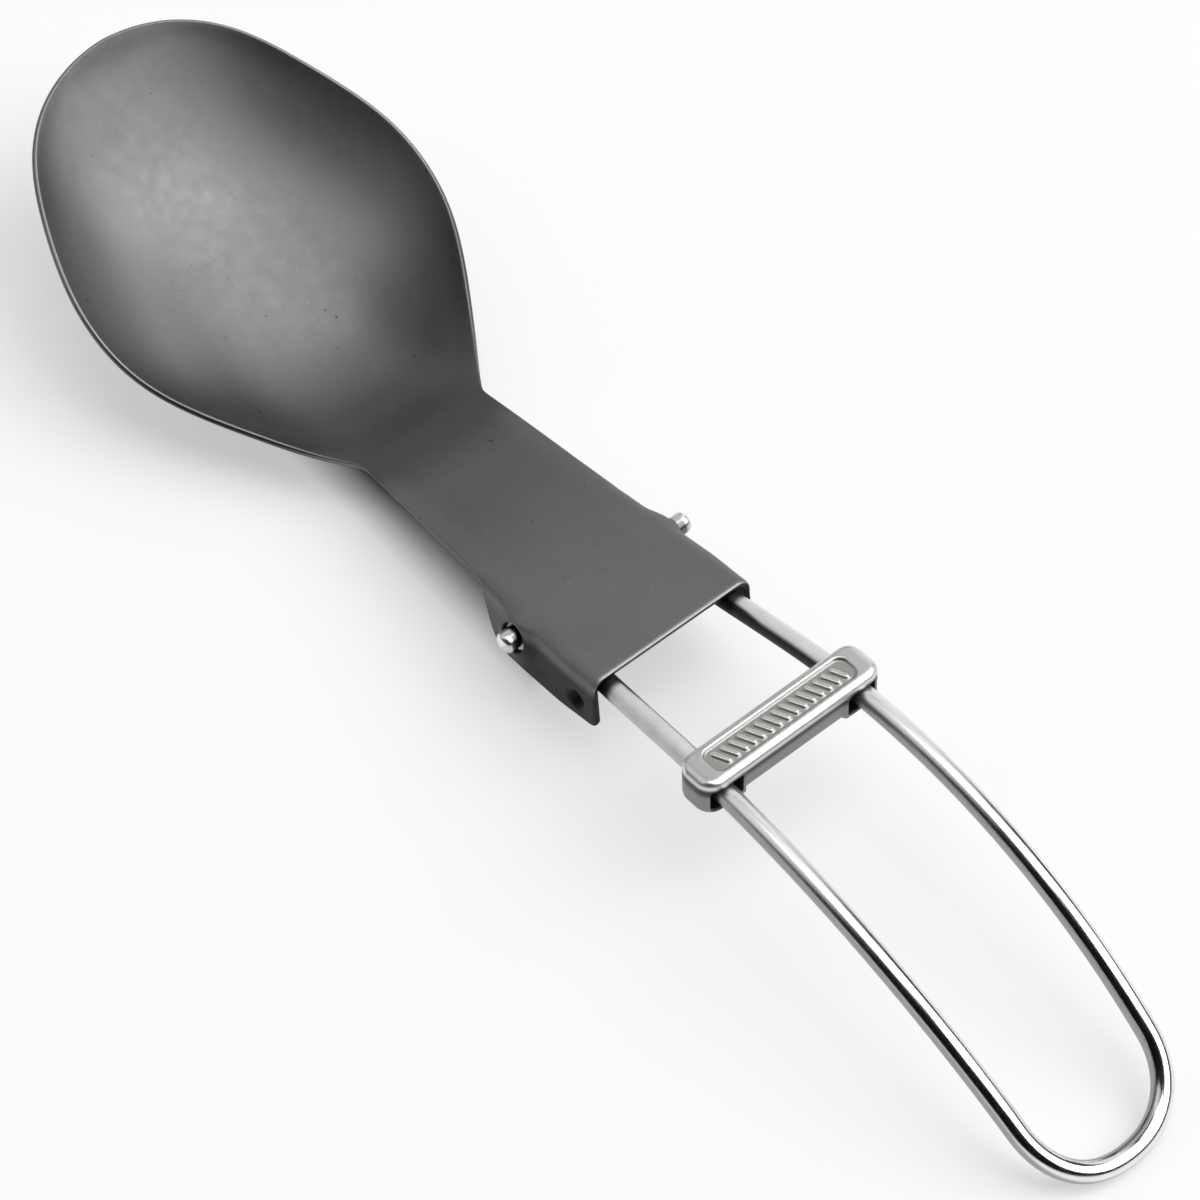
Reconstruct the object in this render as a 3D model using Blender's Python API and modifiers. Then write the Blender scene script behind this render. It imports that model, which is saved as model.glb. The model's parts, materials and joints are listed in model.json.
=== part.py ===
# Folding camping spoon of stamped sheet titanium with a bent wire handle.
# Metres, +Z up, +X towards the bowl's tip. The spoon lies unfolded on a table at z = 0,
# on the belly of its bowl and the end of its wire loop.
# Three pieces: spoon_head (sheet), wire_handle (wire) and slide_lock (cast block).
import math

import bmesh
import bpy
import numpy as np
from mathutils import Vector

# Driving sizes of the sheet
SHEET = 0.0007
NECK_LENGTH = 0.0398
NECK_REAR_WIDTH = 0.0214
NECK_FRONT_WIDTH = 0.0162
BEND_RADIUS = 0.0016
FLANGE_DEPTH = 0.0069
FLANGE_TOP_LENGTH = 0.0188
FLANGE_FOOT_LENGTH = 0.0151
FLANGE_CORNER = 0.0013
FLANGE_ROLL_IN = 0.0020
EAR_BULGE = 0.0013
EAR_RADIUS = 0.0037
DETENT_SETBACK = 0.0028
DETENT_DROP = 0.0045
DETENT_RADIUS = 0.0012
DETENT_TOP_RADIUS = 0.0005
DETENT_HEIGHT = 0.0003

# Driving sizes of the bowl
BOWL_LENGTH = 0.0522
BOWL_WIDTH = 0.0430
BOWL_DEPTH = 0.0100
RIM_RISE = 0.0221

# Driving sizes of the wire
WIRE = 0.0024
PIN_SETBACK = 0.0124
PIN_DROP = 0.0028
PIN_PROUD = 0.0010
PIN_BEND = 0.0019
HANDLE_LENGTH = 0.0840
HANDLE_STRAIGHT = 0.0207
HANDLE_ARC_RADIUS = 0.0770
LEG_SPAN_MIDDLE = 0.0191
LEG_SPAN_LOOP = 0.0178
LOOP_DEPTH = 0.0095

# Driving sizes of the sliding lock
LOCK_RUN = 0.0288
LOCK_WIDTH = 0.0052
LOCK_END_WALL = 0.00065
LOCK_ROOF = 0.0013
LOCK_FLOOR = 0.0005
LOCK_EDGE = 0.0007
LOCK_CORNER = 0.0013
LOCK_TO_NECK = 0.0090
LOCK_TO_LOOP = 0.0400
WAIST_INSET = 0.0004
GROOVE_DEPTH = 0.0003
GROOVE_WIDTH = 0.0007
PANEL_MARGIN = 0.0012

# Clearances
PIN_CLEARANCE = 0.0006
LEG_CLEARANCE = 0.00055
STOP_CLEARANCE = 0.0003
SLOT_SIDE_CLEARANCE = 0.0003
SLOT_HEIGHT_CLEARANCE = 0.0003
OVERRUN = 0.0010

# Shapes given as shares: bowl stations from the neck to the tip, and what holds there
STATION_SHARES = (0.0, 0.2, 0.4, 0.6, 0.8, 1.0)
RIM_RISE_SHARES = (0.0, 0.113, 0.291, 0.515, 0.727, 1.0)
FULLNESS_SHARES = (0.71, 1.044, 1.223, 1.327, 1.60)
DEPTH_SHARES = (0.0, 0.60, 0.95, 1.0, 0.78, 0.0)
SPREAD_SHARE = 0.35
CORNER_SHARES = (0.45, 0.12, 0.0)

# Counts and plain exponents
BOWL_STATIONS = 20
NECK_STATIONS = 5
ROLL_STATIONS = 3
EAR_STATIONS = 13
PLATE_COLUMNS = 5
BEND_COLUMNS = 3
FLANGE_COLUMNS = 5
SECTION_POWER = 2.3
STATION_POWER = 1.4
CORNER_POWER = 6.0
LOOP_POWER = 2.2
LEG_STEPS = 16
LOOP_STEPS = 10
PIN_BEND_STEPS = 4
TRAVEL_STEPS = 20
PIN_HOLE_SIDES = 20
DETENT_SIDES = 16
CORNER_SEGMENTS = 4
GROOVES = 8
GROOVE_SLANT = math.radians(24.0)
SHARP_ANGLE = math.radians(35.0)
ROUNDED_ANGLE = math.radians(50.0)
TILT_LIMIT = math.radians(30.0)
TILT_HALVINGS = 40


def clear_scene():
    """Remove every object, so the script can be run again in an open file."""
    for item in list(bpy.data.objects):
        bpy.data.objects.remove(item, do_unlink=True)


def collection(name):
    """A collection of the given name, linked to the scene."""
    made = bpy.data.collections.get(name) or bpy.data.collections.new(name)
    if made.name not in bpy.context.scene.collection.children:
        bpy.context.scene.collection.children.link(made)
    return made


def metal(name, colour, roughness):
    """A bare metal of one colour."""
    made = bpy.data.materials.new(name)
    made.use_nodes = True
    shader = made.node_tree.nodes["Principled BSDF"]
    shader.inputs["Base Color"].default_value = (*colour, 1.0)
    shader.inputs["Metallic"].default_value = 1.0
    shader.inputs["Roughness"].default_value = roughness
    return made


def add_object(name, data, home, material=None, parent=None):
    """Put data in the scene under its own name, in one collection."""
    made = bpy.data.objects.new(name, data)
    home.objects.link(made)
    if material:
        made.data.materials.append(material)
    made.parent = parent
    return made


def add_empty(name, home, parent=None, location=(0, 0, 0), tilt=0.0):
    """A frame for other objects, turned about Y only."""
    made = add_object(name, None, home, parent=parent)
    made.location = location
    made.rotation_euler = (0, tilt, 0)
    return made


def mesh_of(name, builder):
    """A mesh filled by builder(bm), shaded smooth except at sharp corners."""
    bm = bmesh.new()
    builder(bm)
    data = bpy.data.meshes.new(name)
    bm.to_mesh(data)
    bm.free()
    data.shade_smooth()
    data.set_sharp_from_angle(angle=SHARP_ANGLE)
    return data


def hide_cutter(cutter):
    """Cutters stay in the file, but are neither rendered nor built."""
    cutter.hide_render = True
    cutter.display_type = "WIRE"
    return cutter


def boolean(target, tool, operation):
    """An exact Boolean of one object on another, kept as a modifier."""
    made = target.modifiers.new(f"{operation.lower()} {tool.name}", "BOOLEAN")
    made.operation = operation
    made.object = tool
    made.solver = "EXACT"


def smooth_step(value):
    """0 below 0, 1 above 1, with a soft start and end between."""
    value = min(max(value, 0.0), 1.0)
    return value * value * (3.0 - 2.0 * value)


def smooth_table(places, values, where):
    """A smooth curve through a table: cubic pieces whose slopes come from the neighbours."""
    places = np.asarray(places, dtype=float)
    values = np.asarray(values, dtype=float)
    slopes = np.gradient(values, places)
    index = int(np.clip(np.searchsorted(places, where) - 1, 0, len(places) - 2))
    step = places[index + 1] - places[index]
    part = (where - places[index]) / step
    rise = values[index + 1] - values[index]
    start = slopes[index] * step
    end = slopes[index + 1] * step
    return values[index] + part * (start + part * (3 * rise - 2 * start - end + part * (start + end - 2 * rise)))


def neck_half(x):
    """Half the neck's width at x from its rear end; it tapers towards the bowl."""
    taper = (NECK_REAR_WIDTH - NECK_FRONT_WIDTH) / NECK_LENGTH
    return (NECK_REAR_WIDTH - taper * x) / 2


def rim_half(share):
    """Half the bowl's width: a round nose, filled out by the table of fullness."""
    fullness = (NECK_FRONT_WIDTH / BOWL_WIDTH, *FULLNESS_SHARES)
    return BOWL_WIDTH / 2 * smooth_table(STATION_SHARES, fullness, share) * math.sqrt(1 - share**2)


def rim_height(share):
    """Height of the rim above the neck plate; the bowl is tilted up towards its tip."""
    return RIM_RISE * smooth_table(STATION_SHARES, RIM_RISE_SHARES, share)


def bowl_depth(share):
    """Depth of the bowl's middle line below its rim."""
    return BOWL_DEPTH * smooth_table(STATION_SHARES, DEPTH_SHARES, share)


def column_shares():
    """Places across half a flat sheet, 0 at the middle and 1 at its edge, in two spacings."""
    count = PLATE_COLUMNS + BEND_COLUMNS + FLANGE_COLUMNS
    even = np.linspace(0.0, 1.0, count + 1)
    fold = 1 - BEND_RADIUS / (NECK_FRONT_WIDTH / 2)
    inner = np.linspace(0.0, fold, PLATE_COLUMNS + 1)
    outer = np.linspace(fold, 1.0, BEND_COLUMNS + FLANGE_COLUMNS + 1)[1:]
    return even, np.concatenate([inner, outer])


def bowl_section(share):
    """Half a cross-section of the bowl, from its middle line out to the rim."""
    even, folded = column_shares()
    spread = smooth_step(share / SPREAD_SHARE)
    across = folded + (even - folded) * spread
    x = NECK_LENGTH + BOWL_LENGTH * share
    half = rim_half(share)
    depth = bowl_depth(share)
    return [Vector((x, half * a, rim_height(share) - depth * (1 - a**SECTION_POWER))) for a in across]


def ear_bulge(x, z):
    """The sheet swells outwards round each pivot pin, to make room for the wire's bend."""
    away = math.hypot(x - PIN_SETBACK, z + PIN_DROP) / EAR_RADIUS
    return EAR_BULGE * max(1 - away**2, 0.0) ** 2


def full_turn(x):
    """Angle of the bend: the flanges stand parallel at their feet while the neck tapers."""
    return math.pi / 2 - math.atan((NECK_REAR_WIDTH / 2 - neck_half(x)) / (FLANGE_DEPTH - BEND_RADIUS))


def tail_width(x):
    """Width of sheet outside the fold line, laid flat: slanted in front, round behind."""
    full = BEND_RADIUS * full_turn(x) + FLANGE_DEPTH - BEND_RADIUS
    grown = max(FLANGE_TOP_LENGTH - x, 0.0) / (FLANGE_TOP_LENGTH - FLANGE_FOOT_LENGTH)
    grown = grown / (1 + grown**CORNER_POWER) ** (1 / CORNER_POWER)
    back = min(x / FLANGE_CORNER, 1.0)
    lifted = FLANGE_CORNER * (1 - math.sqrt(1 - (1 - back) ** 2))
    return BEND_RADIUS + (full - BEND_RADIUS) * grown - lifted


def tail_shares(x):
    """Places across that width: some on the bend, the rest down the flange."""
    bent = BEND_RADIUS * full_turn(x)
    bent = bent / (bent + FLANGE_DEPTH - BEND_RADIUS)
    on_bend = [bent * k / BEND_COLUMNS for k in range(1, BEND_COLUMNS + 1)]
    return on_bend + [bent + (1 - bent) * k / FLANGE_COLUMNS for k in range(1, FLANGE_COLUMNS + 1)]


def neck_section(x):
    """Half a cross-section of the neck: flat plate, then the tail rolled down at the fold."""
    fold = neck_half(x) - BEND_RADIUS
    roll = smooth_step((FLANGE_TOP_LENGTH + FLANGE_ROLL_IN - x) / FLANGE_ROLL_IN)
    width = tail_width(x)
    points = [Vector((x, fold * k / PLATE_COLUMNS, 0)) for k in range(PLATE_COLUMNS + 1)]
    for share in tail_shares(x):
        out = width * share
        y, z = fold + out, 0.0
        if roll > 0:
            radius = BEND_RADIUS / roll
            angle = min(out / radius, full_turn(x))
            straight = out - radius * angle
            y = fold + radius * math.sin(angle) + straight * math.cos(angle)
            z = -radius * (1 - math.cos(angle)) - straight * math.sin(angle)
        points.append(Vector((x, y + ear_bulge(x, z) * roll, z)))
    return points


def head_sections():
    """Half sections of the whole sheet, from the bowl's tip back to the neck's rear end."""
    bowl = [1 - (k / BOWL_STATIONS) ** STATION_POWER for k in range(BOWL_STATIONS)]
    rolled = FLANGE_TOP_LENGTH + FLANGE_ROLL_IN
    plain = np.linspace(NECK_LENGTH, rolled, NECK_STATIONS + 1)
    rolls = np.linspace(rolled, FLANGE_TOP_LENGTH, ROLL_STATIONS + 1)[1:]
    ears = np.linspace(FLANGE_TOP_LENGTH, FLANGE_CORNER, EAR_STATIONS + 1)[1:]
    corner = [FLANGE_CORNER * share for share in CORNER_SHARES]
    return [bowl_section(s) for s in bowl] + [neck_section(x) for x in (*plain, *rolls, *ears, *corner)]


def loft_head(bm):
    """The sheet's upper face as one open grid. Its tip closes on a point."""
    rows = []
    for section in head_sections():
        left = [bm.verts.new(p) for p in section]
        right = [bm.verts.new(Vector((p.x, -p.y, p.z))) for p in section[1:]]
        rows.append(right[::-1] + left)
    for front, back in zip(rows, rows[1:]):
        for k in range(len(front) - 1):
            bm.faces.new((front[k], front[k + 1], back[k + 1], back[k]))
    bmesh.ops.remove_doubles(bm, verts=bm.verts, dist=SHEET / 100)


def pin_half_span():
    """Half the distance between the pins' tips, which stand proud of the ears."""
    return neck_half(PIN_SETBACK) + EAR_BULGE + PIN_PROUD


def make_pin_hole_cutter(home, frame):
    """One long cylinder that cuts the pivot hole through both ears."""
    def build(bm):
        radius = WIRE / 2 + PIN_CLEARANCE
        bmesh.ops.create_cone(bm, cap_ends=True, segments=PIN_HOLE_SIDES, radius1=radius,
                              radius2=radius, depth=2 * pin_half_span() + OVERRUN)
    cutter = hide_cutter(add_object("pin_hole_cutter", mesh_of("pin_hole_cutter", build), home, parent=frame))
    cutter.location = (PIN_SETBACK, 0, -PIN_DROP)
    cutter.rotation_euler = (math.pi / 2, 0, 0)
    return cutter


def flange_face(x, z):
    """Y of a flange's outer face at a depth, away from the bulge."""
    share = (-z - BEND_RADIUS) / (FLANGE_DEPTH - BEND_RADIUS)
    return neck_half(x) + (NECK_REAR_WIDTH / 2 - neck_half(x)) * share


def make_detent(name, home, frame, start, depth):
    """A pair of blunt cones, one in each flange, pointing at each other."""
    def build(bm):
        for side in (1, -1):
            made = bmesh.ops.create_cone(bm, cap_ends=True, segments=DETENT_SIDES,
                                         radius1=DETENT_RADIUS, radius2=DETENT_TOP_RADIUS, depth=depth)
            middle = side * (start - depth / 2)
            bmesh.ops.rotate(bm, verts=made["verts"], cent=(0, 0, 0),
                             matrix=Vector((0, 0, 1)).rotation_difference(Vector((0, -side, 0))).to_matrix())
            bmesh.ops.translate(bm, verts=made["verts"], vec=(DETENT_SETBACK, middle, -DETENT_DROP))
    return hide_cutter(add_object(name, mesh_of(name, build), home, parent=frame))


def make_spoon_head(home, cutters, frame):
    """Bowl, neck and flanges, stamped and bent from one sheet."""
    material = metal("dark_titanium", (0.16, 0.16, 0.165), 0.45)
    head = add_object("spoon_head", mesh_of("spoon_head", loft_head), home, material, frame)
    sheet = head.modifiers.new("sheet", "SOLIDIFY")
    sheet.thickness = SHEET
    sheet.offset = -1
    sheet.use_even_offset = True
    boolean(head, make_pin_hole_cutter(cutters, frame), "DIFFERENCE")
    outer = flange_face(DETENT_SETBACK, -DETENT_DROP)
    recess = make_detent("detent_recess_cutter", cutters, frame, outer + OVERRUN, OVERRUN + DETENT_HEIGHT)
    boolean(head, recess, "DIFFERENCE")
    bump = make_detent("detent_bump", cutters, frame, outer - SHEET / 2 - DETENT_HEIGHT / 4,
                       SHEET / 2 + DETENT_HEIGHT)
    boolean(head, bump, "UNION")
    return head


def wire_rise():
    """Slope of the straight legs: from the pin they rise to the stop under the plate's end."""
    stop = SHEET + STOP_CLEARANCE + WIRE / 2
    return math.atan((PIN_DROP - stop) / PIN_SETBACK)


def handle_pitch(run):
    """Angle of the wire below the neck's plane, at a run along the wire from the pin."""
    return max(run - HANDLE_STRAIGHT, 0.0) / HANDLE_ARC_RADIUS - wire_rise()


def arc_centre():
    """Centre of the handle's arc in the side view, from the pin's axis."""
    rise = wire_rise()
    x = -HANDLE_STRAIGHT * math.cos(rise) - HANDLE_ARC_RADIUS * math.sin(rise)
    z = HANDLE_STRAIGHT * math.sin(rise) - HANDLE_ARC_RADIUS * math.cos(rise)
    return Vector((x, 0, z))


def handle_side(run):
    """Place of the wire's middle plane from the pin's axis: a straight run, then one arc."""
    if run < HANDLE_STRAIGHT:
        return Vector((-run * math.cos(wire_rise()), 0, run * math.sin(wire_rise())))
    pitch = handle_pitch(run)
    return arc_centre() + HANDLE_ARC_RADIUS * Vector((-math.sin(pitch), 0, math.cos(pitch)))


def loop_start():
    """Run at which the round end of the loop starts."""
    return HANDLE_LENGTH - LOOP_DEPTH


def channel_half(x):
    """Half the legs' spacing that leaves them their clearance between the flanges."""
    return neck_half(x) - SHEET - LEG_CLEARANCE - WIRE / 2


def leg_half(run):
    """Half the legs' spacing: along the flanges in the channel, then a parabola through three spans."""
    if run < PIN_SETBACK:
        return channel_half(PIN_SETBACK - run)
    share = min((run - PIN_SETBACK) / (loop_start() - PIN_SETBACK), 1.0)
    near = channel_half(0) * (1 - share) * (1 - 2 * share)
    middle = LEG_SPAN_MIDDLE / 2 * 4 * share * (1 - share)
    loop = LEG_SPAN_LOOP / 2 * share * (2 * share - 1)
    return near + middle + loop


def half_wire_plan():
    """Run and half spacing from a pin's tip to the end of the loop."""
    plan = [(0.0, pin_half_span())]
    near = leg_half(PIN_BEND)
    for k in range(PIN_BEND_STEPS + 1):
        angle = math.pi / 2 * k / PIN_BEND_STEPS
        plan.append((PIN_BEND * (1 - math.cos(angle)), near + PIN_BEND * (1 - math.sin(angle))))
    for k in range(1, LEG_STEPS + 1):
        run = PIN_BEND + (loop_start() - PIN_BEND) * k / LEG_STEPS
        plan.append((run, leg_half(run)))
    for k in range(1, LOOP_STEPS + 1):
        angle = math.pi / 2 * k / LOOP_STEPS
        along = math.sin(angle) ** (2 / LOOP_POWER)
        across = max(math.cos(angle), 0.0) ** (2 / LOOP_POWER)
        plan.append((loop_start() + LOOP_DEPTH * along, LEG_SPAN_LOOP / 2 * across))
    return plan


def wire_points():
    """Middle line of the whole wire, from one pin's tip round the loop to the other's."""
    half = [handle_side(run) + Vector((0, y, 0)) for run, y in half_wire_plan()]
    half[-1].y = 0.0
    other = [Vector((p.x, -p.y, p.z)) for p in half[-2::-1]]
    return half + other


def make_wire_handle(home, pivot):
    """One bent wire; its turned-out ends are the pivot pins."""
    curve = bpy.data.curves.new("wire_handle", "CURVE")
    curve.dimensions = "3D"
    curve.bevel_depth = WIRE / 2
    curve.bevel_resolution = 3
    curve.use_fill_caps = True
    points = wire_points()
    spline = curve.splines.new("POLY")
    spline.points.add(len(points) - 1)
    for target, point in zip(spline.points, points):
        target.co = (*point, 1.0)
    return add_object("wire_handle", curve, home, metal("bright_titanium", (0.62, 0.62, 0.61), 0.25), pivot)


def box(bm, size, middle, turn=0.0):
    """A box of one size about a middle, turned about Z."""
    made = bmesh.ops.create_cube(bm, size=1)
    bmesh.ops.scale(bm, vec=size, verts=made["verts"])
    spin = Vector((1, 0, 0)).rotation_difference(Vector((math.cos(turn), math.sin(turn), 0))).to_matrix()
    bmesh.ops.rotate(bm, verts=made["verts"], cent=(0, 0, 0), matrix=spin)
    bmesh.ops.translate(bm, verts=made["verts"], vec=middle)


def slot_range():
    """Least and greatest half spacing of the legs while the lock travels."""
    start = LOCK_RUN - LOCK_TO_NECK - LOCK_WIDTH / 2
    end = LOCK_RUN + LOCK_TO_LOOP + LOCK_WIDTH / 2
    spacings = [leg_half(run) for run in np.linspace(start, end, TRAVEL_STEPS)]
    return min(spacings), max(spacings)


def lock_box():
    """Length, bottom and top of the block, which walls in its slots."""
    slot_half = WIRE / 2 + SLOT_HEIGHT_CLEARANCE
    length = 2 * (slot_range()[1] + WIRE / 2 + SLOT_SIDE_CLEARANCE + LOCK_END_WALL)
    return length, -slot_half - LOCK_FLOOR, slot_half + LOCK_ROOF


def slot_cutter(bm):
    """An oblong slot for each leg, wide enough for the legs' spread over the travel."""
    low, high = slot_range()
    width = high - low + WIRE + 2 * SLOT_SIDE_CLEARANCE
    height = WIRE + 2 * SLOT_HEIGHT_CLEARANCE
    for side in (1, -1):
        box(bm, (LOCK_WIDTH + OVERRUN, width, height), (0, side * (low + high) / 2, 0))


def waist_cutter(bm):
    """The long sides are set back between the slots, below the top plate."""
    low, high = slot_range()
    length = low * 2 - WIRE
    top = WIRE / 2 + SLOT_HEIGHT_CLEARANCE
    height = top - lock_box()[1] + OVERRUN
    for side in (1, -1):
        middle = side * (LOCK_WIDTH / 2 + OVERRUN / 2 - WAIST_INSET)
        box(bm, (OVERRUN, length, height), (middle, 0, top - height / 2))


def groove_cutter(bm):
    """A row of slanted grooves along the top, a plain grip pattern."""
    length, _, top = lock_box()
    length = length - 2 * PANEL_MARGIN - LOCK_WIDTH
    across = (LOCK_WIDTH - 2 * PANEL_MARGIN) / math.cos(GROOVE_SLANT)
    for k in range(GROOVES):
        y = length * (k / (GROOVES - 1) - 0.5)
        box(bm, (across, GROOVE_WIDTH, 2 * GROOVE_DEPTH), (0, y, top), GROOVE_SLANT)


def make_slide_lock(home, cutters, seat):
    """The cast block that slides on both legs."""
    def build(bm):
        length, bottom, top = lock_box()
        box(bm, (LOCK_WIDTH, length, top - bottom), (0, 0, (top + bottom) / 2))
        upright = [edge for edge in bm.edges if abs((edge.verts[0].co - edge.verts[1].co).normalized().z) > 0.5]
        bmesh.ops.bevel(bm, geom=upright, offset=LOCK_CORNER, segments=CORNER_SEGMENTS, profile=0.5, affect="EDGES")
    material = metal("cast_silver", (0.55, 0.55, 0.54), 0.35)
    lock = add_object("slide_lock", mesh_of("slide_lock", build), home, material, seat)
    rounding = lock.modifiers.new("edge", "BEVEL")
    rounding.width = LOCK_EDGE
    rounding.segments = 2
    rounding.limit_method = "ANGLE"
    rounding.angle_limit = ROUNDED_ANGLE
    for name, builder in (("slot_cutter", slot_cutter), ("waist_cutter", waist_cutter),
                          ("groove_cutter", groove_cutter)):
        cutter = hide_cutter(add_object(name, mesh_of(name, builder), cutters, parent=seat))
        boolean(lock, cutter, "DIFFERENCE")
    return lock


def world_points(item):
    """Corners of an object as the viewport shows it, in world space."""
    shown = item.evaluated_get(bpy.context.evaluated_depsgraph_get())
    data = bpy.data.meshes.new_from_object(shown)
    points = np.array([item.matrix_world @ vertex.co for vertex in data.vertices])
    bpy.data.meshes.remove(data)
    return points


def lay_down(frame, head, handle, lock):
    """Tilt the spoon until bowl and loop both touch the table, and centre it there."""
    bpy.context.view_layer.update()
    bowl, wire, block = (world_points(item) for item in (head, handle, lock))
    low, high = 0.0, TILT_LIMIT

    def heights(points, tilt):
        return points[:, 2] * math.cos(tilt) - points[:, 0] * math.sin(tilt)

    for _ in range(TILT_HALVINGS):
        middle = (low + high) / 2
        if heights(bowl, middle).min() > heights(wire, middle).min():
            low = middle
        else:
            high = middle
    every = np.concatenate([bowl, wire, block])
    along = every[:, 0] * math.cos(low) + every[:, 2] * math.sin(low)
    frame.rotation_euler = (0, low, 0)
    frame.location = (-(along.min() + along.max()) / 2, 0, -heights(every, low).min())
    bpy.context.view_layer.update()


def build_spoon():
    """All pieces, under frames that stand on their joints' axes."""
    clear_scene()
    home = collection("folding_spoon")
    cutters = collection("folding_spoon_cutters")
    frame = add_empty("neck_frame", home)
    pivot = add_empty("handle_pivot", home, frame, (PIN_SETBACK, 0, -PIN_DROP))
    guide = add_empty("lock_guide", home, pivot, arc_centre())
    seat = add_empty("lock_seat", home, guide, handle_side(LOCK_RUN) - arc_centre(), -handle_pitch(LOCK_RUN))
    head = make_spoon_head(home, cutters, frame)
    handle = make_wire_handle(home, pivot)
    lock = make_slide_lock(home, cutters, seat)
    lay_down(frame, head, handle, lock)


build_spoon()
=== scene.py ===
# %% [markdown]
# # A folding camping spoon, dressed for a photograph
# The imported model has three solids: the sheet-metal head, the bent wire handle and the
# sliding lock. They have the right sizes but coarse faces. Each cell below works out one
# of them again as a fine surface, gives it its metal, and hangs it on the solid's body.

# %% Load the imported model
import json
import math

import bmesh
import bpy
import numpy as np
from mathutils import Matrix, Vector


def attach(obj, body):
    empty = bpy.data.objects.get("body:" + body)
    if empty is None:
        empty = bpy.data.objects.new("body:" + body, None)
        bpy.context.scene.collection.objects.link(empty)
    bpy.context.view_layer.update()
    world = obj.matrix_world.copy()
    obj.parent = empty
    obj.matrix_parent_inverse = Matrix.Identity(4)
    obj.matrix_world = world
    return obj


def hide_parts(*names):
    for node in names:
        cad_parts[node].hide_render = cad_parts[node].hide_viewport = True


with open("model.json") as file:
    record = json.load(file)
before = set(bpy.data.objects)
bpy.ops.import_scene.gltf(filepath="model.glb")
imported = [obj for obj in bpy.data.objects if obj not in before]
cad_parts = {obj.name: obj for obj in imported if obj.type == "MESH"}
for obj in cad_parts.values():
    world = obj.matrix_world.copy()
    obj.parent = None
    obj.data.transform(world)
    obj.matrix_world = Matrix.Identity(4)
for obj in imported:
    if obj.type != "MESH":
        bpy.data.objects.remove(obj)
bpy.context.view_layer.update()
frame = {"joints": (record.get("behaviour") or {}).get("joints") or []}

# %% [markdown]
# ## Sizes and the neck's own frame
# A spoon is drawn most easily from its flat neck: X runs forward to the bowl, Z stands on
# the plate, and the origin is the middle of the plate's rear edge. Lengths here are in
# millimetres. On the table the neck leans a little, nose down. The two hinges that the
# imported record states, the pivot and the centre of the handle's arc, say by how much.

# %% Sizes of the real spoon, in millimetres
MM = 0.001
SHEET, EDGE = 0.7, 0.26
NECK_LENGTH, NECK_REAR_WIDTH, NECK_FRONT_WIDTH = 39.8, 21.4, 16.2
BEND, FLANGE_DEPTH, FLANGE_TOP, FLANGE_FOOT = 1.6, 6.9, 18.8, 15.1
FLANGE_CORNER, ROLL_IN, EARLY_ROLL = 1.3, 2.0, 38.0
EAR_BULGE, EAR_RADIUS, HOLE_RADIUS, FLANGE_SWELL = 1.0, 3.7, 1.8, 0.3
REAR_PROUD, REAR_ROUND, REAR_FALL = 0.2, 0.6, 0.17
DIMPLE_X, DIMPLE_DROP, DIMPLE_RADIUS, DIMPLE_DEPTH = 2.8, 4.5, 1.45, 0.95
BOWL_LENGTH, BOWL_WIDTH, BOWL_DEPTH, RIM_RISE = 52.2, 43.0, 10.0, 22.1
WIRE, PIN_X, PIN_DROP, PIN_PROUD, PIN_BEND, PIN_SHORT = 2.4, 12.4, 2.8, 1.0, 1.9, 0.45
HANDLE_LENGTH, HANDLE_STRAIGHT, ARC, LOOP_DEPTH = 84.0, 20.7, 77.0, 9.5
MIDDLE_SPAN, LOOP_SPAN = 19.1, 17.8
LEG_GAP, STOP_GAP = 0.55, 0.3
LOCK_RUN, LOCK_WIDTH, LOCK_TO_NECK, LOCK_TO_LOOP = 28.8, 5.2, 9.0, 40.0
SLOT_GAP, LOCK_END, LOCK_ROOF, LOCK_FLOOR = 0.3, 0.65, 1.3, 0.5

wire_rise = math.atan((PIN_DROP - SHEET - STOP_GAP - WIRE / 2) / PIN_X)
arc_centre = np.array([-HANDLE_STRAIGHT * math.cos(wire_rise) - ARC * math.sin(wire_rise),
                       HANDLE_STRAIGHT * math.sin(wire_rise) - ARC * math.cos(wire_rise)])

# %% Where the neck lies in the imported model
joints = {joint["name"]: np.array(joint["pos_m"]) / MM for joint in frame["joints"]}
to_centre = joints["lock_slide"] - joints["handle_fold"]
tilt = math.atan2(arc_centre[1], arc_centre[0]) - math.atan2(to_centre[2], to_centre[0])
turn = np.array([[math.cos(tilt), 0, math.sin(tilt)], [0, 1, 0], [-math.sin(tilt), 0, math.cos(tilt)]])
neck_origin = joints["handle_fold"] - turn @ np.array([PIN_X, 0, -PIN_DROP])
print("the neck leans", round(math.degrees(tilt), 2), "degrees; its origin is", neck_origin.round(2))


def to_row(points):
    """Neck-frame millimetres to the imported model's metres: turned by the tilt, then moved."""
    return (np.asarray(points, float) @ turn.T + neck_origin) * MM


# %% [markdown]
# ## Small tools
# A smooth curve through a few measured values, a soft step, and ways to join numpy grids
# into a Blender mesh. Seams between grids close because points that fall on the same
# place are made one.

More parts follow.
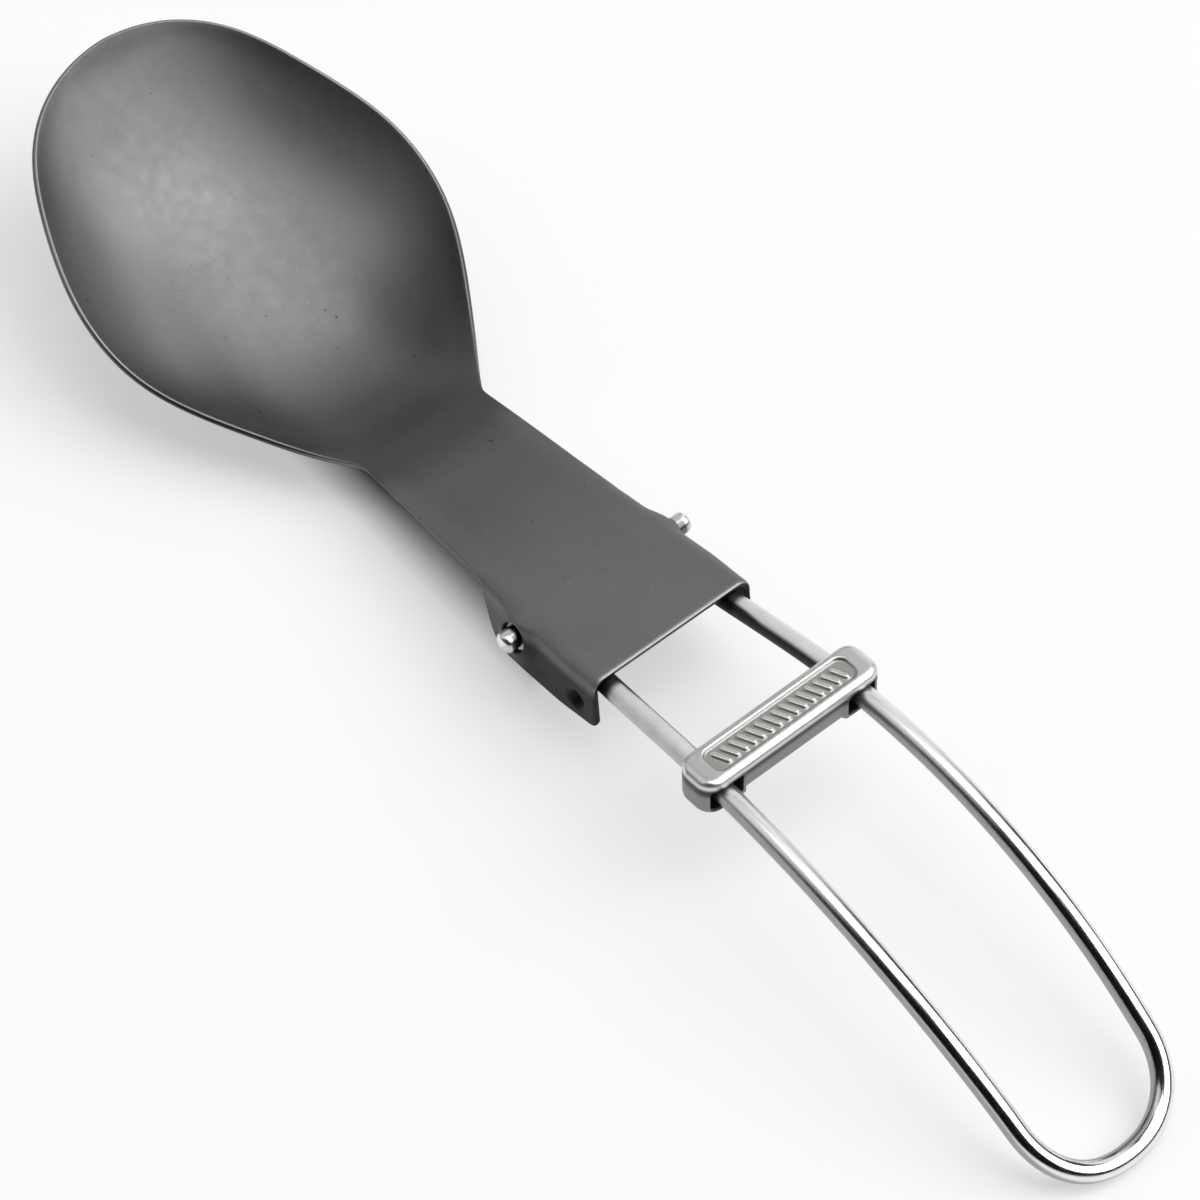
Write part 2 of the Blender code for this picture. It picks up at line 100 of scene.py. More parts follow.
# %% Curves and steps
def spline(places, values, where, start=None, end=None):
    """Cubic pieces with continuous bending. The second derivatives m solve
    h0*m0 + 2*(h0+h1)*m1 + h1*m2 = 6*(slope1 - slope0); ends are free, or have a given slope."""
    places, values, where = (np.asarray(a, float) for a in (places, values, where))
    count, step = len(places), np.diff(places)
    slope = np.diff(values) / step
    system, right = np.zeros((count, count)), np.zeros(count)
    for k in range(1, count - 1):
        system[k, k - 1:k + 2] = step[k - 1], 2 * (step[k - 1] + step[k]), step[k]
        right[k] = 6 * (slope[k] - slope[k - 1])
    system[0, 0] = system[-1, -1] = 1.0
    if start is not None:
        system[0, :2], right[0] = (2 * step[0], step[0]), 6 * (slope[0] - start)
    if end is not None:
        system[-1, -2:], right[-1] = (step[-1], 2 * step[-1]), 6 * (end - slope[-1])
    bend = np.linalg.solve(system, right)
    k = np.clip(np.searchsorted(places, where) - 1, 0, count - 2)
    h, a, b = step[k], places[k + 1] - where, where - places[k]
    return (bend[k] * a**3 + bend[k + 1] * b**3) / (6 * h) + (
        values[k] / h - bend[k] * h / 6) * a + (values[k + 1] / h - bend[k + 1] * h / 6) * b


def soft_step(value):
    """0 below 0, 1 above 1, and 3t^2 - 2t^3 between."""
    t = np.clip(value, 0.0, 1.0)
    return t * t * (3 - 2 * t)


def between(value, stretch, low=0.0, high=1.0):
    """A soft step from low at the stretch's first number to high at its second."""
    return low + (high - low) * soft_step((value - stretch[0]) / (stretch[1] - stretch[0]))


def distance_along(points):
    """How far along their polyline the points lie."""
    return np.concatenate([[0], np.cumsum(np.linalg.norm(np.diff(points, axis=0), axis=1))])


def unit(vectors):
    """The same directions with length 1."""
    return vectors / np.linalg.norm(vectors, axis=1, keepdims=True)


# %% Grids: their faces, their blocks, and how they are joined
def grid_faces(rows, columns, closed=False):
    """Quads of a grid whose points are numbered row by row; closed joins last column to first."""
    i, j = np.meshgrid(np.arange(rows - 1), np.arange(columns if closed else columns - 1), indexing="ij")
    a, b = i * columns + j, i * columns + (j + 1) % columns
    return np.stack([a, b, b + columns, a + columns], -1).reshape(-1, 4)


def block_border(r0, r1, c0, c1):
    """Rows and columns of a grid's points once round a block."""
    rows = (np.full(c1 - c0, r0), np.arange(r0, r1), np.full(c1 - c0, r1), np.arange(r1, r0, -1))
    columns = (np.arange(c0, c1), np.full(r1 - r0, c1), np.arange(c1, c0, -1), np.full(r1 - r0, c0))
    return np.concatenate(rows), np.concatenate(columns)


def outside_block(quads, width, r0, r1, c0, c1):
    """True for a grid's quads that lie outside a block of it."""
    row, column = quads[:, 0] // width, quads[:, 0] % width
    return (row < r0) | (row >= r1) | (column < c0) | (column >= c1)


def joined(parts):
    """Several pairs of points and faces as one pair."""
    starts = np.cumsum([0] + [len(points) for points, faces in parts])
    return (np.concatenate([points for points, faces in parts]),
            np.concatenate([faces + start for (points, faces), start in zip(parts, starts)]))


def weld(points, faces, grain=1e-3):
    """Makes points within about a grain of each other one, and drops faces that collapse.
    Also gives, for each point kept, its old number."""
    keys, first, place = np.unique(np.round(points / grain).astype(np.int64), axis=0,
                                   return_index=True, return_inverse=True)
    whole = []
    for f in (place.ravel()[group] for group in faces):
        alike = np.diff(np.sort(f, axis=1), axis=1) == 0
        whole.append(f[~alike.any(1)])
        if f.shape[1] == 4:
            halves = np.vstack([f[:, [0, 1, 2]], f[:, [0, 2, 3]]])[np.tile(alike.any(1), 2)]
            whole.append(halves[(np.diff(np.sort(halves, axis=1), axis=1) > 0).all(1)])
    return points[first], [f for f in whole if len(f)], first


def with_mirror(points, faces, flip, grain=1e-3):
    """A half and its mirror image, without unused points, welded where they meet."""
    faces = np.concatenate([faces, faces[:, ::-1] + len(points)])
    points = np.concatenate([points, points * flip])
    used, faces = np.unique(faces, return_inverse=True)
    return weld(points[used], [faces.reshape(-1, 4)], grain)[:2]


def face_normals(points, faces):
    """The cross product of each quad's diagonals, and the same sum for a triangle."""
    return np.cross(points[faces[:, 2]] - points[faces[:, 0]], points[faces[:, -1]] - points[faces[:, 1]])


def vertex_normals(points, groups):
    """Unit normals: the faces' normals summed at their corners."""
    total = np.zeros_like(points)
    for faces in groups:
        flat = face_normals(points, faces)
        for corner in faces.T:
            np.add.at(total, corner, flat)
    return unit(total)


def facing_up(points, faces):
    """Turns a grid's quads over if their summed normal points down or inwards."""
    total = face_normals(points, faces).sum(0)
    return faces if total[1] + total[2] > 0 else faces[:, ::-1]


# %% From arrays to a Blender object
def make_piece(name, points, faces, values=None, places=None, sharp=None):
    """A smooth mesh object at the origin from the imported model's metres. Values are named
    numbers per point, places a name and a triple per point, sharp an angle in degrees."""
    data = bpy.data.meshes.new(name)
    data.from_pydata(points.tolist(), [], [f for group in faces for f in group.tolist()])
    for key, numbers in (values or {}).items():
        data.attributes.new(key, "FLOAT", "POINT").data.foreach_set("value", numbers.astype(np.float32))
    if places:
        layer = data.attributes.new(places[0], "FLOAT_VECTOR", "POINT")
        layer.data.foreach_set("vector", places[1].astype(np.float32).ravel())
    data.validate()
    data.shade_smooth()
    if sharp:
        data.set_sharp_from_angle(angle=math.radians(sharp))
    piece = bpy.data.objects.new(name, data)
    bpy.context.scene.collection.objects.link(piece)
    shell = bmesh.new()
    shell.from_mesh(data)
    volume = shell.calc_volume(signed=True) / MM**3
    open_edges = sum(not edge.is_manifold for edge in shell.edges)
    shell.free()
    kind = f"{open_edges} open edges" if open_edges else f"closed, {volume:.0f} mm3"
    print(f"{name}: {len(data.vertices)} points, {len(data.polygons)} faces, {kind}")
    return piece


# %% [markdown]
# ## The head: one sheet, drawn as its upper skin
# The real head is blanked from titanium sheet, pressed into a bowl at one end and bent
# down at both sides of the other. So the skin is a function of two numbers: how far
# along the spoon, and how far across the flat blank. A second step gives it its wall.

# %% The blank: a tapering neck that flares into a bowl
SHARES = (0.0, 0.2, 0.4, 0.6, 0.8, 1.0)
FULLNESS = (NECK_FRONT_WIDTH / BOWL_WIDTH, 0.71, 1.044, 1.223, 1.327, 1.60)
FLARE, CORNER_BLEND, BLEND_FADE, FRONT_ROUND = 0.69, 0.35, 8, 6


def neck_half(x):
    """Half the plate's width, a straight taper."""
    return (NECK_REAR_WIDTH - (NECK_REAR_WIDTH - NECK_FRONT_WIDTH) / NECK_LENGTH * x) / 2


def bowl_share(x):
    """How far along the bowl x is, from 0 to 1."""
    return np.clip((x - NECK_LENGTH) / BOWL_LENGTH, 0.0, 1.0)


def outline_half(x):
    """Half the width of the blank seen from above. On the bowl it is a round nose, the root
    of 1 - share^2, filled out by a table; the neck's edge runs into it by a soft maximum."""
    share = bowl_share(x)
    bowl = BOWL_WIDTH / 2 * spline(SHARES, FULLNESS, share) * np.sqrt(1 - share**2)
    bowl = bowl + np.minimum(x - NECK_LENGTH, 0.0) * FLARE
    neck = neck_half(x) * (1 - share)
    return (bowl + neck + np.sqrt((bowl - neck) ** 2 + CORNER_BLEND**2 * (1 - share) ** BLEND_FADE)) / 2


def full_turn(x):
    """Angle of the bend that leaves the flanges' feet parallel while the plate tapers."""
    return np.pi / 2 - np.arctan((NECK_REAR_WIDTH / 2 - neck_half(x)) / (FLANGE_DEPTH - BEND))


def blank_half(x):
    """Half the width of the flat blank: past the fold come the bend and the flange, slanted
    in front by a soft minimum and rounded at the rear corner."""
    full = BEND * full_turn(x) + FLANGE_DEPTH - BEND
    grown = np.maximum(FLANGE_TOP - x, 0.0) / (FLANGE_TOP - FLANGE_FOOT)
    grown = grown / (1 + grown**FRONT_ROUND) ** (1 / FRONT_ROUND)
    lifted = FLANGE_CORNER * (1 - np.sqrt(1 - (1 - np.clip((x + REAR_PROUD) / FLANGE_CORNER, 0, 1)) ** 2))
    return outline_half(x) + (full - BEND) * grown - lifted


# %% The neck: a flat plate whose sides roll down into flanges
EARLY_SHARE, SWELL_FADE = 0.5, 6.0
BESIDE_FLANGE = (FLANGE_TOP + ROLL_IN, FLANGE_TOP)


def pressed(x, z, at_x, drop, radius):
    """A round mark pressed into a flange: the square of 1 - distance^2 / radius^2."""
    return np.maximum(1 - ((x - at_x) ** 2 + (z + drop) ** 2) / radius**2, 0.0) ** 2


def neck_skin(x, w):
    """Places a point of the flat blank, x along and w across: flat up to the fold, then an
    arc of the bend's radius, then straight down. Ears swell and dimples sink sideways, and
    the skin falls away by a square law along the rear edge, which is rounded by hand."""
    fold = outline_half(x) - BEND
    out = np.maximum(w - fold, 0.0)
    at_flange = between(x, BESIDE_FLANGE)
    roll = EARLY_SHARE * between(x, (EARLY_ROLL, FLANGE_TOP)) + (1 - EARLY_SHARE) * at_flange
    radius = BEND / np.maximum(roll, 1e-6)
    angle = np.minimum(out / radius, full_turn(x))
    rest = out - radius * angle
    y = np.minimum(w, fold) + np.where(roll > 1e-6, radius * np.sin(angle) + rest * np.cos(angle), out)
    z = np.where(roll > 1e-6, -radius * (1 - np.cos(angle)) - rest * np.sin(angle), 0.0)
    sideways = (FLANGE_SWELL * at_flange * soft_step(x / SWELL_FADE)
                + EAR_BULGE * pressed(x, z, PIN_X, PIN_DROP, EAR_RADIUS)
                - DIMPLE_DEPTH * pressed(x, z, DIMPLE_X, DIMPLE_DROP, DIMPLE_RADIUS))
    fall = REAR_FALL * np.clip(1 - (x + REAR_PROUD) / REAR_ROUND, 0, 1) ** 2
    y = y + soft_step(out / BEND) * sideways - fall * np.sin(angle)
    return np.stack([x + 0 * w, y, z - fall * np.cos(angle)], -1)


# %% The bowl: rim and middle line from tables, a round trough between them
RIM_SHARES = (0.0, 0.113, 0.291, 0.515, 0.727, 1.0)
DEPTH_SHARES = (0.0, 0.60, 0.95, 1.0, 0.78, 0.0)
TROUGH = 2.3


def bowl_skin(x, y):
    """Height over the plan: the rim's height less the depth times 1 - |y/half|^2.3. Both
    tables start level, so the bowl grows out of the neck without a crease."""
    rim = RIM_RISE * spline(SHARES, RIM_SHARES, bowl_share(x), start=0.0)
    depth = BOWL_DEPTH * spline(SHARES, DEPTH_SHARES, bowl_share(x), start=0.0)
    across = np.clip(np.abs(y) / np.maximum(outline_half(x), 1e-9), 0, 1)
    return np.stack([x, y, rim - depth * (1 - across**TROUGH)], -1)


# %% Grid lines along the neck and across the blank
PLATE_STEPS, BEND_STEPS, FLANGE_STEPS = 22, 10, 22
CORNER_ROWS, FLANGE_ROWS, NECK_ROWS = 12, 92, 44
bend_share = BEND * full_turn(0) / (BEND * full_turn(0) + FLANGE_DEPTH - BEND)
tail_shares = np.concatenate([np.linspace(0, bend_share, BEND_STEPS + 1),
                              np.linspace(bend_share, 1, FLANGE_STEPS + 1)[1:]])[1:]
neck_lines = np.concatenate([FLANGE_CORNER * (1 - np.cos(np.linspace(0, np.pi / 2, CORNER_ROWS))),
                             np.linspace(FLANGE_CORNER, FLANGE_TOP + ROLL_IN, FLANGE_ROWS)[1:],
                             np.linspace(FLANGE_TOP + ROLL_IN, NECK_LENGTH, NECK_ROWS)[1:]])
neck_lines = EDGE - REAR_PROUD + neck_lines * (NECK_LENGTH - EDGE + REAR_PROUD) / NECK_LENGTH


def blank_lines(x):
    """Places across half the blank at x, inset from its edge by the edge's rounding."""
    fold = outline_half(x) - BEND
    tail = (blank_half(x) - EDGE - fold)[:, None] * tail_shares
    return np.concatenate([fold[:, None] * np.linspace(0, 1, PLATE_STEPS + 1), fold[:, None] + tail], axis=1)


neck_w = blank_lines(neck_lines)
neck_x = neck_lines[:, None] + 0 * neck_w
columns = neck_w.shape[1]
print("neck grid:", neck_x.shape, "points on each half")

# %% [markdown]
# The bowl's plan is a patch stretched between four curves: the neck's front line, the
# middle line, and the rim in two parts, its side and its front. The front part meets the
# last grid line, so no grid line shrinks to a point at the tip.

# %% Bowl patch between its four boundary curves
BOWL_ROWS, RIM_CORNER, RIM_SAMPLES = 90, math.radians(52), 600


def even(points, count):
    """Resamples a plan curve to count points at equal distances along it."""
    run = distance_along(points)
    at = np.linspace(0, run[-1], count)
    return np.stack([np.interp(at, run, points[:, k]) for k in range(2)], -1)


def rim_plan(angle):
    """The rim inset by the edge's rounding, x as the sine of an angle so the nose is even."""
    x = NECK_LENGTH + (BOWL_LENGTH - EDGE) * np.sin(angle)
    full = NECK_LENGTH + BOWL_LENGTH * np.sin(angle)
    return np.stack([x, np.maximum(outline_half(full) - EDGE, 0.0)], -1)


side = even(rim_plan(np.linspace(0, RIM_CORNER, RIM_SAMPLES)), BOWL_ROWS)
nose = even(rim_plan(np.linspace(np.pi / 2, RIM_CORNER, RIM_SAMPLES)), columns)
start = np.stack([np.full(columns, NECK_LENGTH), blank_lines(np.array([NECK_LENGTH]))[0]], -1)
middle_x = np.linspace(NECK_LENGTH, NECK_LENGTH + BOWL_LENGTH - EDGE, BOWL_ROWS)
axis = np.stack([middle_x, np.zeros(BOWL_ROWS)], -1)
u = np.linspace(0, 1, columns)[None, :, None]
v = np.linspace(0, 1, BOWL_ROWS)[:, None, None]
plan = ((1 - v) * start + v * nose + (1 - u) * axis[:, None] + u * side[:, None]
        - (1 - u) * (1 - v) * start[0] - u * (1 - v) * start[-1] - (1 - u) * v * nose[0] - u * v * nose[-1])
bowl_points = bowl_skin(plan[..., 0], plan[..., 1])
print("bowl grid:", bowl_points.shape[:2], "tip at x =", round(float(bowl_points[..., 0].max()), 2))

# %% [markdown]
# The pivot hole is a round hole in a square grid. A block of the grid round it is left
# out, and rings lead from the block's edge to the circle.

# %% Neck grid with a ringed hole
BLOCK, RINGS = 2.45, 7
hole_turn = float(full_turn(PIN_X))
hole_w = float(outline_half(np.array([PIN_X]))[0]) - BEND + BEND * hole_turn + (
    PIN_DROP - BEND * (1 - math.cos(hole_turn))) / math.sin(hole_turn)
rows_in = np.where(np.abs(neck_lines - PIN_X) < BLOCK)[0]
columns_in = np.where(np.abs(neck_w[rows_in[len(rows_in) // 2]] - hole_w) < BLOCK)[0]
block = rows_in[0], rows_in[-1], columns_in[0], columns_in[-1]
border = block_border(*block)
square = np.stack([neck_x[border] - PIN_X, neck_w[border] - hole_w], -1)
circle = unit(square) * (HOLE_RADIUS + EDGE)
ring = np.linspace(0, 1, RINGS + 1)[:, None, None]
ring_at = square * (1 - ring) + circle * ring
ring_points = neck_skin(ring_at[..., 0] + PIN_X, ring_at[..., 1] + hole_w)

# %% Join neck, rings and bowl, and mirror the half
ON_MIDDLE = 1e-6
neck_quads = grid_faces(*neck_x.shape)
half = [(neck_skin(neck_x, neck_w), neck_quads[outside_block(neck_quads, columns, *block)]),
        (ring_points, grid_faces(RINGS + 1, len(square), closed=True)),
        (bowl_points, grid_faces(BOWL_ROWS, columns))]
half = [(points.reshape(-1, 3), faces) for points, faces in half]
half_points, half_faces = joined([(points, facing_up(points, faces)) for points, faces in half])
half_points[np.abs(half_points[:, 1]) < ON_MIDDLE, 1] = 0.0
skin_points, skin_groups = with_mirror(half_points, half_faces, (1, -1, 1))
print("skin:", len(skin_points), "points;", [g.shape for g in skin_groups])

# %% Give the skin its wall
EDGE_STEPS, BOWL_SQUARENESS, NECK_SQUARENESS = 8, 0.8, 0.5
BOWL_STARTS = (NECK_LENGTH - 2, NECK_LENGTH + 2)


def thicken(points, groups, wall, edge, steps):
    """A closed sheet under the skin: the lower skin is a wall away along the normals, and
    every free edge gets a half round, squared off by an exponent below 1. Also gives each
    point 1 on the cut edge and 0 on the skins, and 0 above and 1 below."""
    normals = vertex_normals(points, groups)
    pairs = np.concatenate([np.stack([g[:, k], g[:, (k + 1) % g.shape[1]]], -1)
                            for g in groups for k in range(g.shape[1])])
    code = np.sort(pairs, axis=1) @ (len(points), 1)
    unique, first, count = np.unique(code, return_index=True, return_counts=True)
    free = pairs[first[count == 1]]
    along = unit(points[free[:, 1]] - points[free[:, 0]])
    outward = np.zeros_like(points)
    for end in free.T:
        np.add.at(outward, end, np.cross(along, normals[end]))
    rim = np.unique(free)
    outward = unit(outward[rim])
    turns = np.linspace(0, np.pi, steps + 1)[1:-1, None]
    power = between(points[rim, 0], BOWL_STARTS, NECK_SQUARENESS, BOWL_SQUARENESS)
    lean = np.sign(np.cos(turns)) * np.abs(np.cos(turns)) ** power
    reach = np.sin(turns) ** power
    middle = points[rim] - wall / 2 * normals[rim]
    strips = middle + wall / 2 * lean[..., None] * normals[rim] + edge * reach[..., None] * outward
    made = np.concatenate([points, points - wall * normals, strips.reshape(-1, 3)])
    number = np.arange(len(points))
    on_rim = np.full(len(points), -1)
    on_rim[rim] = np.arange(len(rim))
    levels = [number] + [2 * len(points) + k * len(rim) + on_rim for k in range(steps - 1)]
    levels.append(number + len(points))
    a, b = free.T
    bands = [np.stack([low[b], low[a], high[a], high[b]], -1) for low, high in zip(levels, levels[1:])]
    cut = np.concatenate([np.zeros(2 * len(points)), reach.ravel()])
    below = np.concatenate([np.zeros(len(points)), np.ones(len(points)), (1 - lean).ravel() / 2])
    return made, groups + [g[:, ::-1] + len(points) for g in groups] + bands, cut, below


head_points, head_faces, cut_edge_and_highlight, below = thicken(skin_points, skin_groups, SHEET, EDGE, EDGE_STEPS)

# %% [markdown]
# The metal isn't even. Cut edges are bare and shine on the bowl's rim, and along the top of the
# rear edge their pale colour is a painted highlight. Painted shade darkens the flanges, the
# throat and its shoulders, a band inside the rim, the dimples, the holes and all that is turned
# under, and a painted sheen lightens a ring in the bowl. Each is a share from 0 to 1, made of
# soft steps. A stretch below is a pair: where the share starts, and where it is whole.

# %% Bare edges, and a painted highlight along the rear edge
NECK_CUT, REAR_HIGHLIGHT_SHARE, HOLE_CUT = 0.25, 0.45, 1.0
REAR_HIGHLIGHT_SPAN, REAR_HIGHLIGHT_UPPER, PLATE_LOWEST = (0.5 - REAR_PROUD, 0.2 - REAR_PROUD), (0.19, 0.05), -1.2
hx, hy, hz = head_points.T
off_middle, from_pin = np.abs(hy), np.hypot(hx - PIN_X, hz + PIN_DROP)
cut_edge_and_highlight = cut_edge_and_highlight * between(hx, BOWL_STARTS, NECK_CUT)
cut_edge_and_highlight = np.where(from_pin < HOLE_RADIUS + HOLE_CUT, 0, cut_edge_and_highlight)
# A painted highlight: the upper half of the rear edge gets the pale cut-metal colour where it catches the
# light.
rear_highlight = between(hx, REAR_HIGHLIGHT_SPAN) * between(below, REAR_HIGHLIGHT_UPPER) * (hz > PLATE_LOWEST)
cut_edge_and_highlight = np.maximum(cut_edge_and_highlight, REAR_HIGHLIGHT_SHARE * rear_highlight)

# %% Painted shade on the neck: its flanges, its throat, its dimples, its holes and all that is turned under
FLANGE_DROP, FLANGE_REAR, FLANGE_FRONT_SHARE = (-0.3, -2.5), (17, 10), 0.45
NECK_SHADE_SPAN, NECK_SHARE = (8, 32), 0.27
THROAT_SHADE_SPAN, THROAT_SHARE, THROAT_END = (31, 38), 0.28, (48, 40)
SIDE_PALER, SIDE_REAR, SIDE_LOSS = (5.5, 8), (38, 34), 0.45
DIMPLE_DARK = (1.25 * DIMPLE_RADIUS, 5 / 12 * DIMPLE_RADIUS)
UNDER, UNDER_SHARE = (0.2, 0.5), 0.5
UNDER_REAR, UNDER_REAR_SHARE = (10, 4), 0.92
REAR_FACE, REAR_FACE_SHADE, REAR_FACE_SHARE = 0.5, (0.06, 0.19), 0.95
HOLE_WALL, HOLE_SHADE_SPAN, NEAR_EARS = HOLE_RADIUS + 0.4, (0.05, 0.25), 9
# Painted shade: the downward flanges, the throat, the dimples, the holes' walls, the rear cut face and all
# that is turned under are darkened where shade falls on them.
flange_shade = between(hx, BESIDE_FLANGE) * between(hz, FLANGE_DROP)
flange_shade *= between(hx, FLANGE_REAR, FLANGE_FRONT_SHARE)
throat_shade = NECK_SHARE * between(hx, NECK_SHADE_SPAN) + THROAT_SHARE * between(hx, THROAT_SHADE_SPAN)
throat_shade *= between(hx, THROAT_END)
throat_shade *= 1 - SIDE_LOSS * between(off_middle, SIDE_PALER) * between(hx, SIDE_REAR)
dimple_shade = between(np.hypot(hx - DIMPLE_X, hz + DIMPLE_DROP), DIMPLE_DARK)
underside_shade = between(below, UNDER) * between(hx, UNDER_REAR, UNDER_SHARE, UNDER_REAR_SHARE)
underside_shade = np.where(hx < REAR_FACE, REAR_FACE_SHARE * between(below, REAR_FACE_SHADE), underside_shade)
hole_shade = between(below, HOLE_SHADE_SPAN) * (from_pin < HOLE_WALL) * (off_middle > NEAR_EARS)

# %% Painted shade on the bowl's shoulders and inside its rim, and a painted sheen ring
SHOULDER_SIDE, SHOULDER_START, SHOULDER_END = (5, 11), (40, 46), (68, 56)
RIM_BAND, RIM_START, RIM_SHARE = (3.5, 0), (42, 48), 0.3
TIP_START, TIP_SHARE, TIP_REACH = (76, 84), 0.45, 1.2
RING_MIDDLE, RING_LENGTH, RING_WIDTH, RING_BAND = 62, 24, 14, 0.24
RING_START, RING_TIP, RING_SIDE, RING_TIP_LOSS = (56, 66), (72, 80), (12, 4), 0.75
FLANGE_SHADE, SHOULDER_SHADE, DIMPLE_SHADE, HOLE_SHADE = 0.9, 0.38, 0.8, 0.95
# Painted shade: the bowl's shoulders and a band inside the rim, where the steep walls are in shade, are
# darkened.
shoulder_shade = between(off_middle, SHOULDER_SIDE) * between(hx, SHOULDER_START) * between(hx, SHOULDER_END)
to_rim = np.minimum(outline_half(hx) - off_middle, (NECK_LENGTH + BOWL_LENGTH - hx) * TIP_REACH)
rim_band_shade = between(to_rim, RIM_BAND) * between(hx, RIM_START) * between(hx, TIP_START, RIM_SHARE, TIP_SHARE)
# A painted sheen: a paler ring on the bowl's middle walls, where they catch the light.
ring_share = np.hypot((hx - RING_MIDDLE) / RING_LENGTH, hy / RING_WIDTH)
sheen_ring = np.exp(-((ring_share - 1) / RING_BAND) ** 2) * between(hx, RING_START)
sheen_ring *= 1 - RING_TIP_LOSS * between(hx, RING_TIP) * between(off_middle, RING_SIDE)
# The painted shades above are joined into one share of painted shade for the head's material.
painted_shades = (FLANGE_SHADE * flange_shade, throat_shade, SHOULDER_SHADE * shoulder_shade, rim_band_shade, underside_shade,
         DIMPLE_SHADE * dimple_shade, HOLE_SHADE * hole_shade)
painted_shade = 1 - np.prod([1 - panel_darkening for panel_darkening in painted_shades], axis=0)
head = make_piece("stamped_head", to_row(head_points), head_faces,
                  {"cut_edge_and_highlight": cut_edge_and_highlight, "painted_shade": painted_shade, "wear_and_sheen": sheen_ring})

# %% [markdown]
# ## The handle: one wire, carried round a path
# The path is known from above and from the side. From above, the legs run a fixed gap
# inside the flanges, then bulge as a parabola to a blunt loop. From the side they are
# straight, then one long arc. A circle carried along that path is the wire. Its ends turn
# outwards through the ears and are the pivot pins; the left one was cut a little shorter.

# %% The wire's path from above and from the side
PIN_STEPS, BEND_TURN_STEPS, LEG_RINGS, LOOP_RINGS, LOOP_BLUNT = 6, 14, 190, 60, 2.2
loop_start = HANDLE_LENGTH - LOOP_DEPTH


def channel_half(x):
    """Half the legs' spacing between the flanges."""
    return neck_half(x) - SHEET - LEG_GAP - WIRE / 2


def leg_half(run):
    """Half the legs' spacing: along the flanges, then a parabola through three spans."""
    share = np.clip((run - PIN_X) / (loop_start - PIN_X), 0, 1)
    near = channel_half(0) * (1 - share) * (1 - 2 * share)
    middle = MIDDLE_SPAN / 2 * 4 * share * (1 - share)
    loop = LOOP_SPAN / 2 * share * (2 * share - 1)
    return np.where(run < PIN_X, channel_half(PIN_X - run), near + middle + loop)


def side_view(run):
    """Neck-frame x and z of the wire at a run from the pin, and the angle it dips by."""
    dip = np.maximum(run - HANDLE_STRAIGHT, 0) / ARC - wire_rise
    straight = np.stack([-run * math.cos(wire_rise), run * math.sin(wire_rise)], -1)
    curved = arc_centre + ARC * np.stack([-np.sin(dip), np.cos(dip)], -1)
    place = np.where((run < HANDLE_STRAIGHT)[:, None], straight, curved)
    return place + (PIN_X, -PIN_DROP), dip


# %% One leg from its pin's tip to the middle of the loop, then the other
ear_face = float(neck_half(PIN_X)) + FLANGE_SWELL + EAR_BULGE
pin_tip = ear_face + PIN_PROUD
quarter = np.linspace(0, np.pi / 2, BEND_TURN_STEPS)
leg_run = np.linspace(PIN_BEND, loop_start, LEG_RINGS)[1:]
loop_turn = np.linspace(0, np.pi / 2, LOOP_RINGS)[1:]
plan_run = np.concatenate([np.zeros(PIN_STEPS), PIN_BEND * (1 - np.cos(quarter)), leg_run,
                           loop_start + LOOP_DEPTH * np.sin(loop_turn) ** (2 / LOOP_BLUNT)])


def plan_half(tip):
    """Distances from the middle at plan_run: in from the pin's tip, round the bend, along
    the leg, and round the loop, whose powers of cosine and sine make a blunt ellipse."""
    bent = float(leg_half(np.array([PIN_BEND]))[0]) + PIN_BEND
    loop = LOOP_SPAN / 2 * np.clip(np.cos(loop_turn), 0, 1) ** (2 / LOOP_BLUNT)
    half = np.concatenate([np.linspace(tip, bent, PIN_STEPS + 1)[:-1], bent - PIN_BEND * np.sin(quarter),
                           leg_half(leg_run), loop])
    half[-1] = 0.0
    return half


run_all = np.concatenate([plan_run, plan_run[-2::-1]])
across_all = np.concatenate([plan_half(pin_tip - PIN_SHORT), -plan_half(pin_tip)[-2::-1]])

# %% Even spacing and a little smoothing, as a bent wire has no corners
WIRE_RINGS, SMOOTHING = 620, 5
length = distance_along(np.stack([run_all, across_all], -1))
spaced = np.linspace(0, length[-1], WIRE_RINGS)


def blurred(numbers, width):
    """Each number becomes the mean of its neighbours, weighted 1 + cos over the width."""
    weights = 1 + np.cos(np.linspace(-np.pi, np.pi, 2 * width + 3)[1:-1])
    padded = np.concatenate([2 * numbers[0] - numbers[width:0:-1], numbers,
                             2 * numbers[-1] - numbers[-2:-width - 2:-1]])
    return np.convolve(padded, weights / weights.sum(), "valid")


run_even, across_even = (blurred(np.interp(spaced, length, a), SMOOTHING) for a in (run_all, across_all))
run_even = np.maximum(run_even, 0)
place, dip = side_view(run_even)
path = np.stack([place[:, 0], across_even, place[:, 1]], -1)
print("wire length:", round(float(length[-1]), 1), "mm")

# %% Carry a circle along the path, with domed ends
WIRE_SIDES, DOME, DOME_RINGS, DOME_POWER = 40, 0.8, 9, 0.75


def held(values):
    """Repeats the end values for the domes' rings."""
    first, last = (np.repeat(end, DOME_RINGS, 0) for end in (values[:1], values[-1:]))
    return np.concatenate([first, values, last])


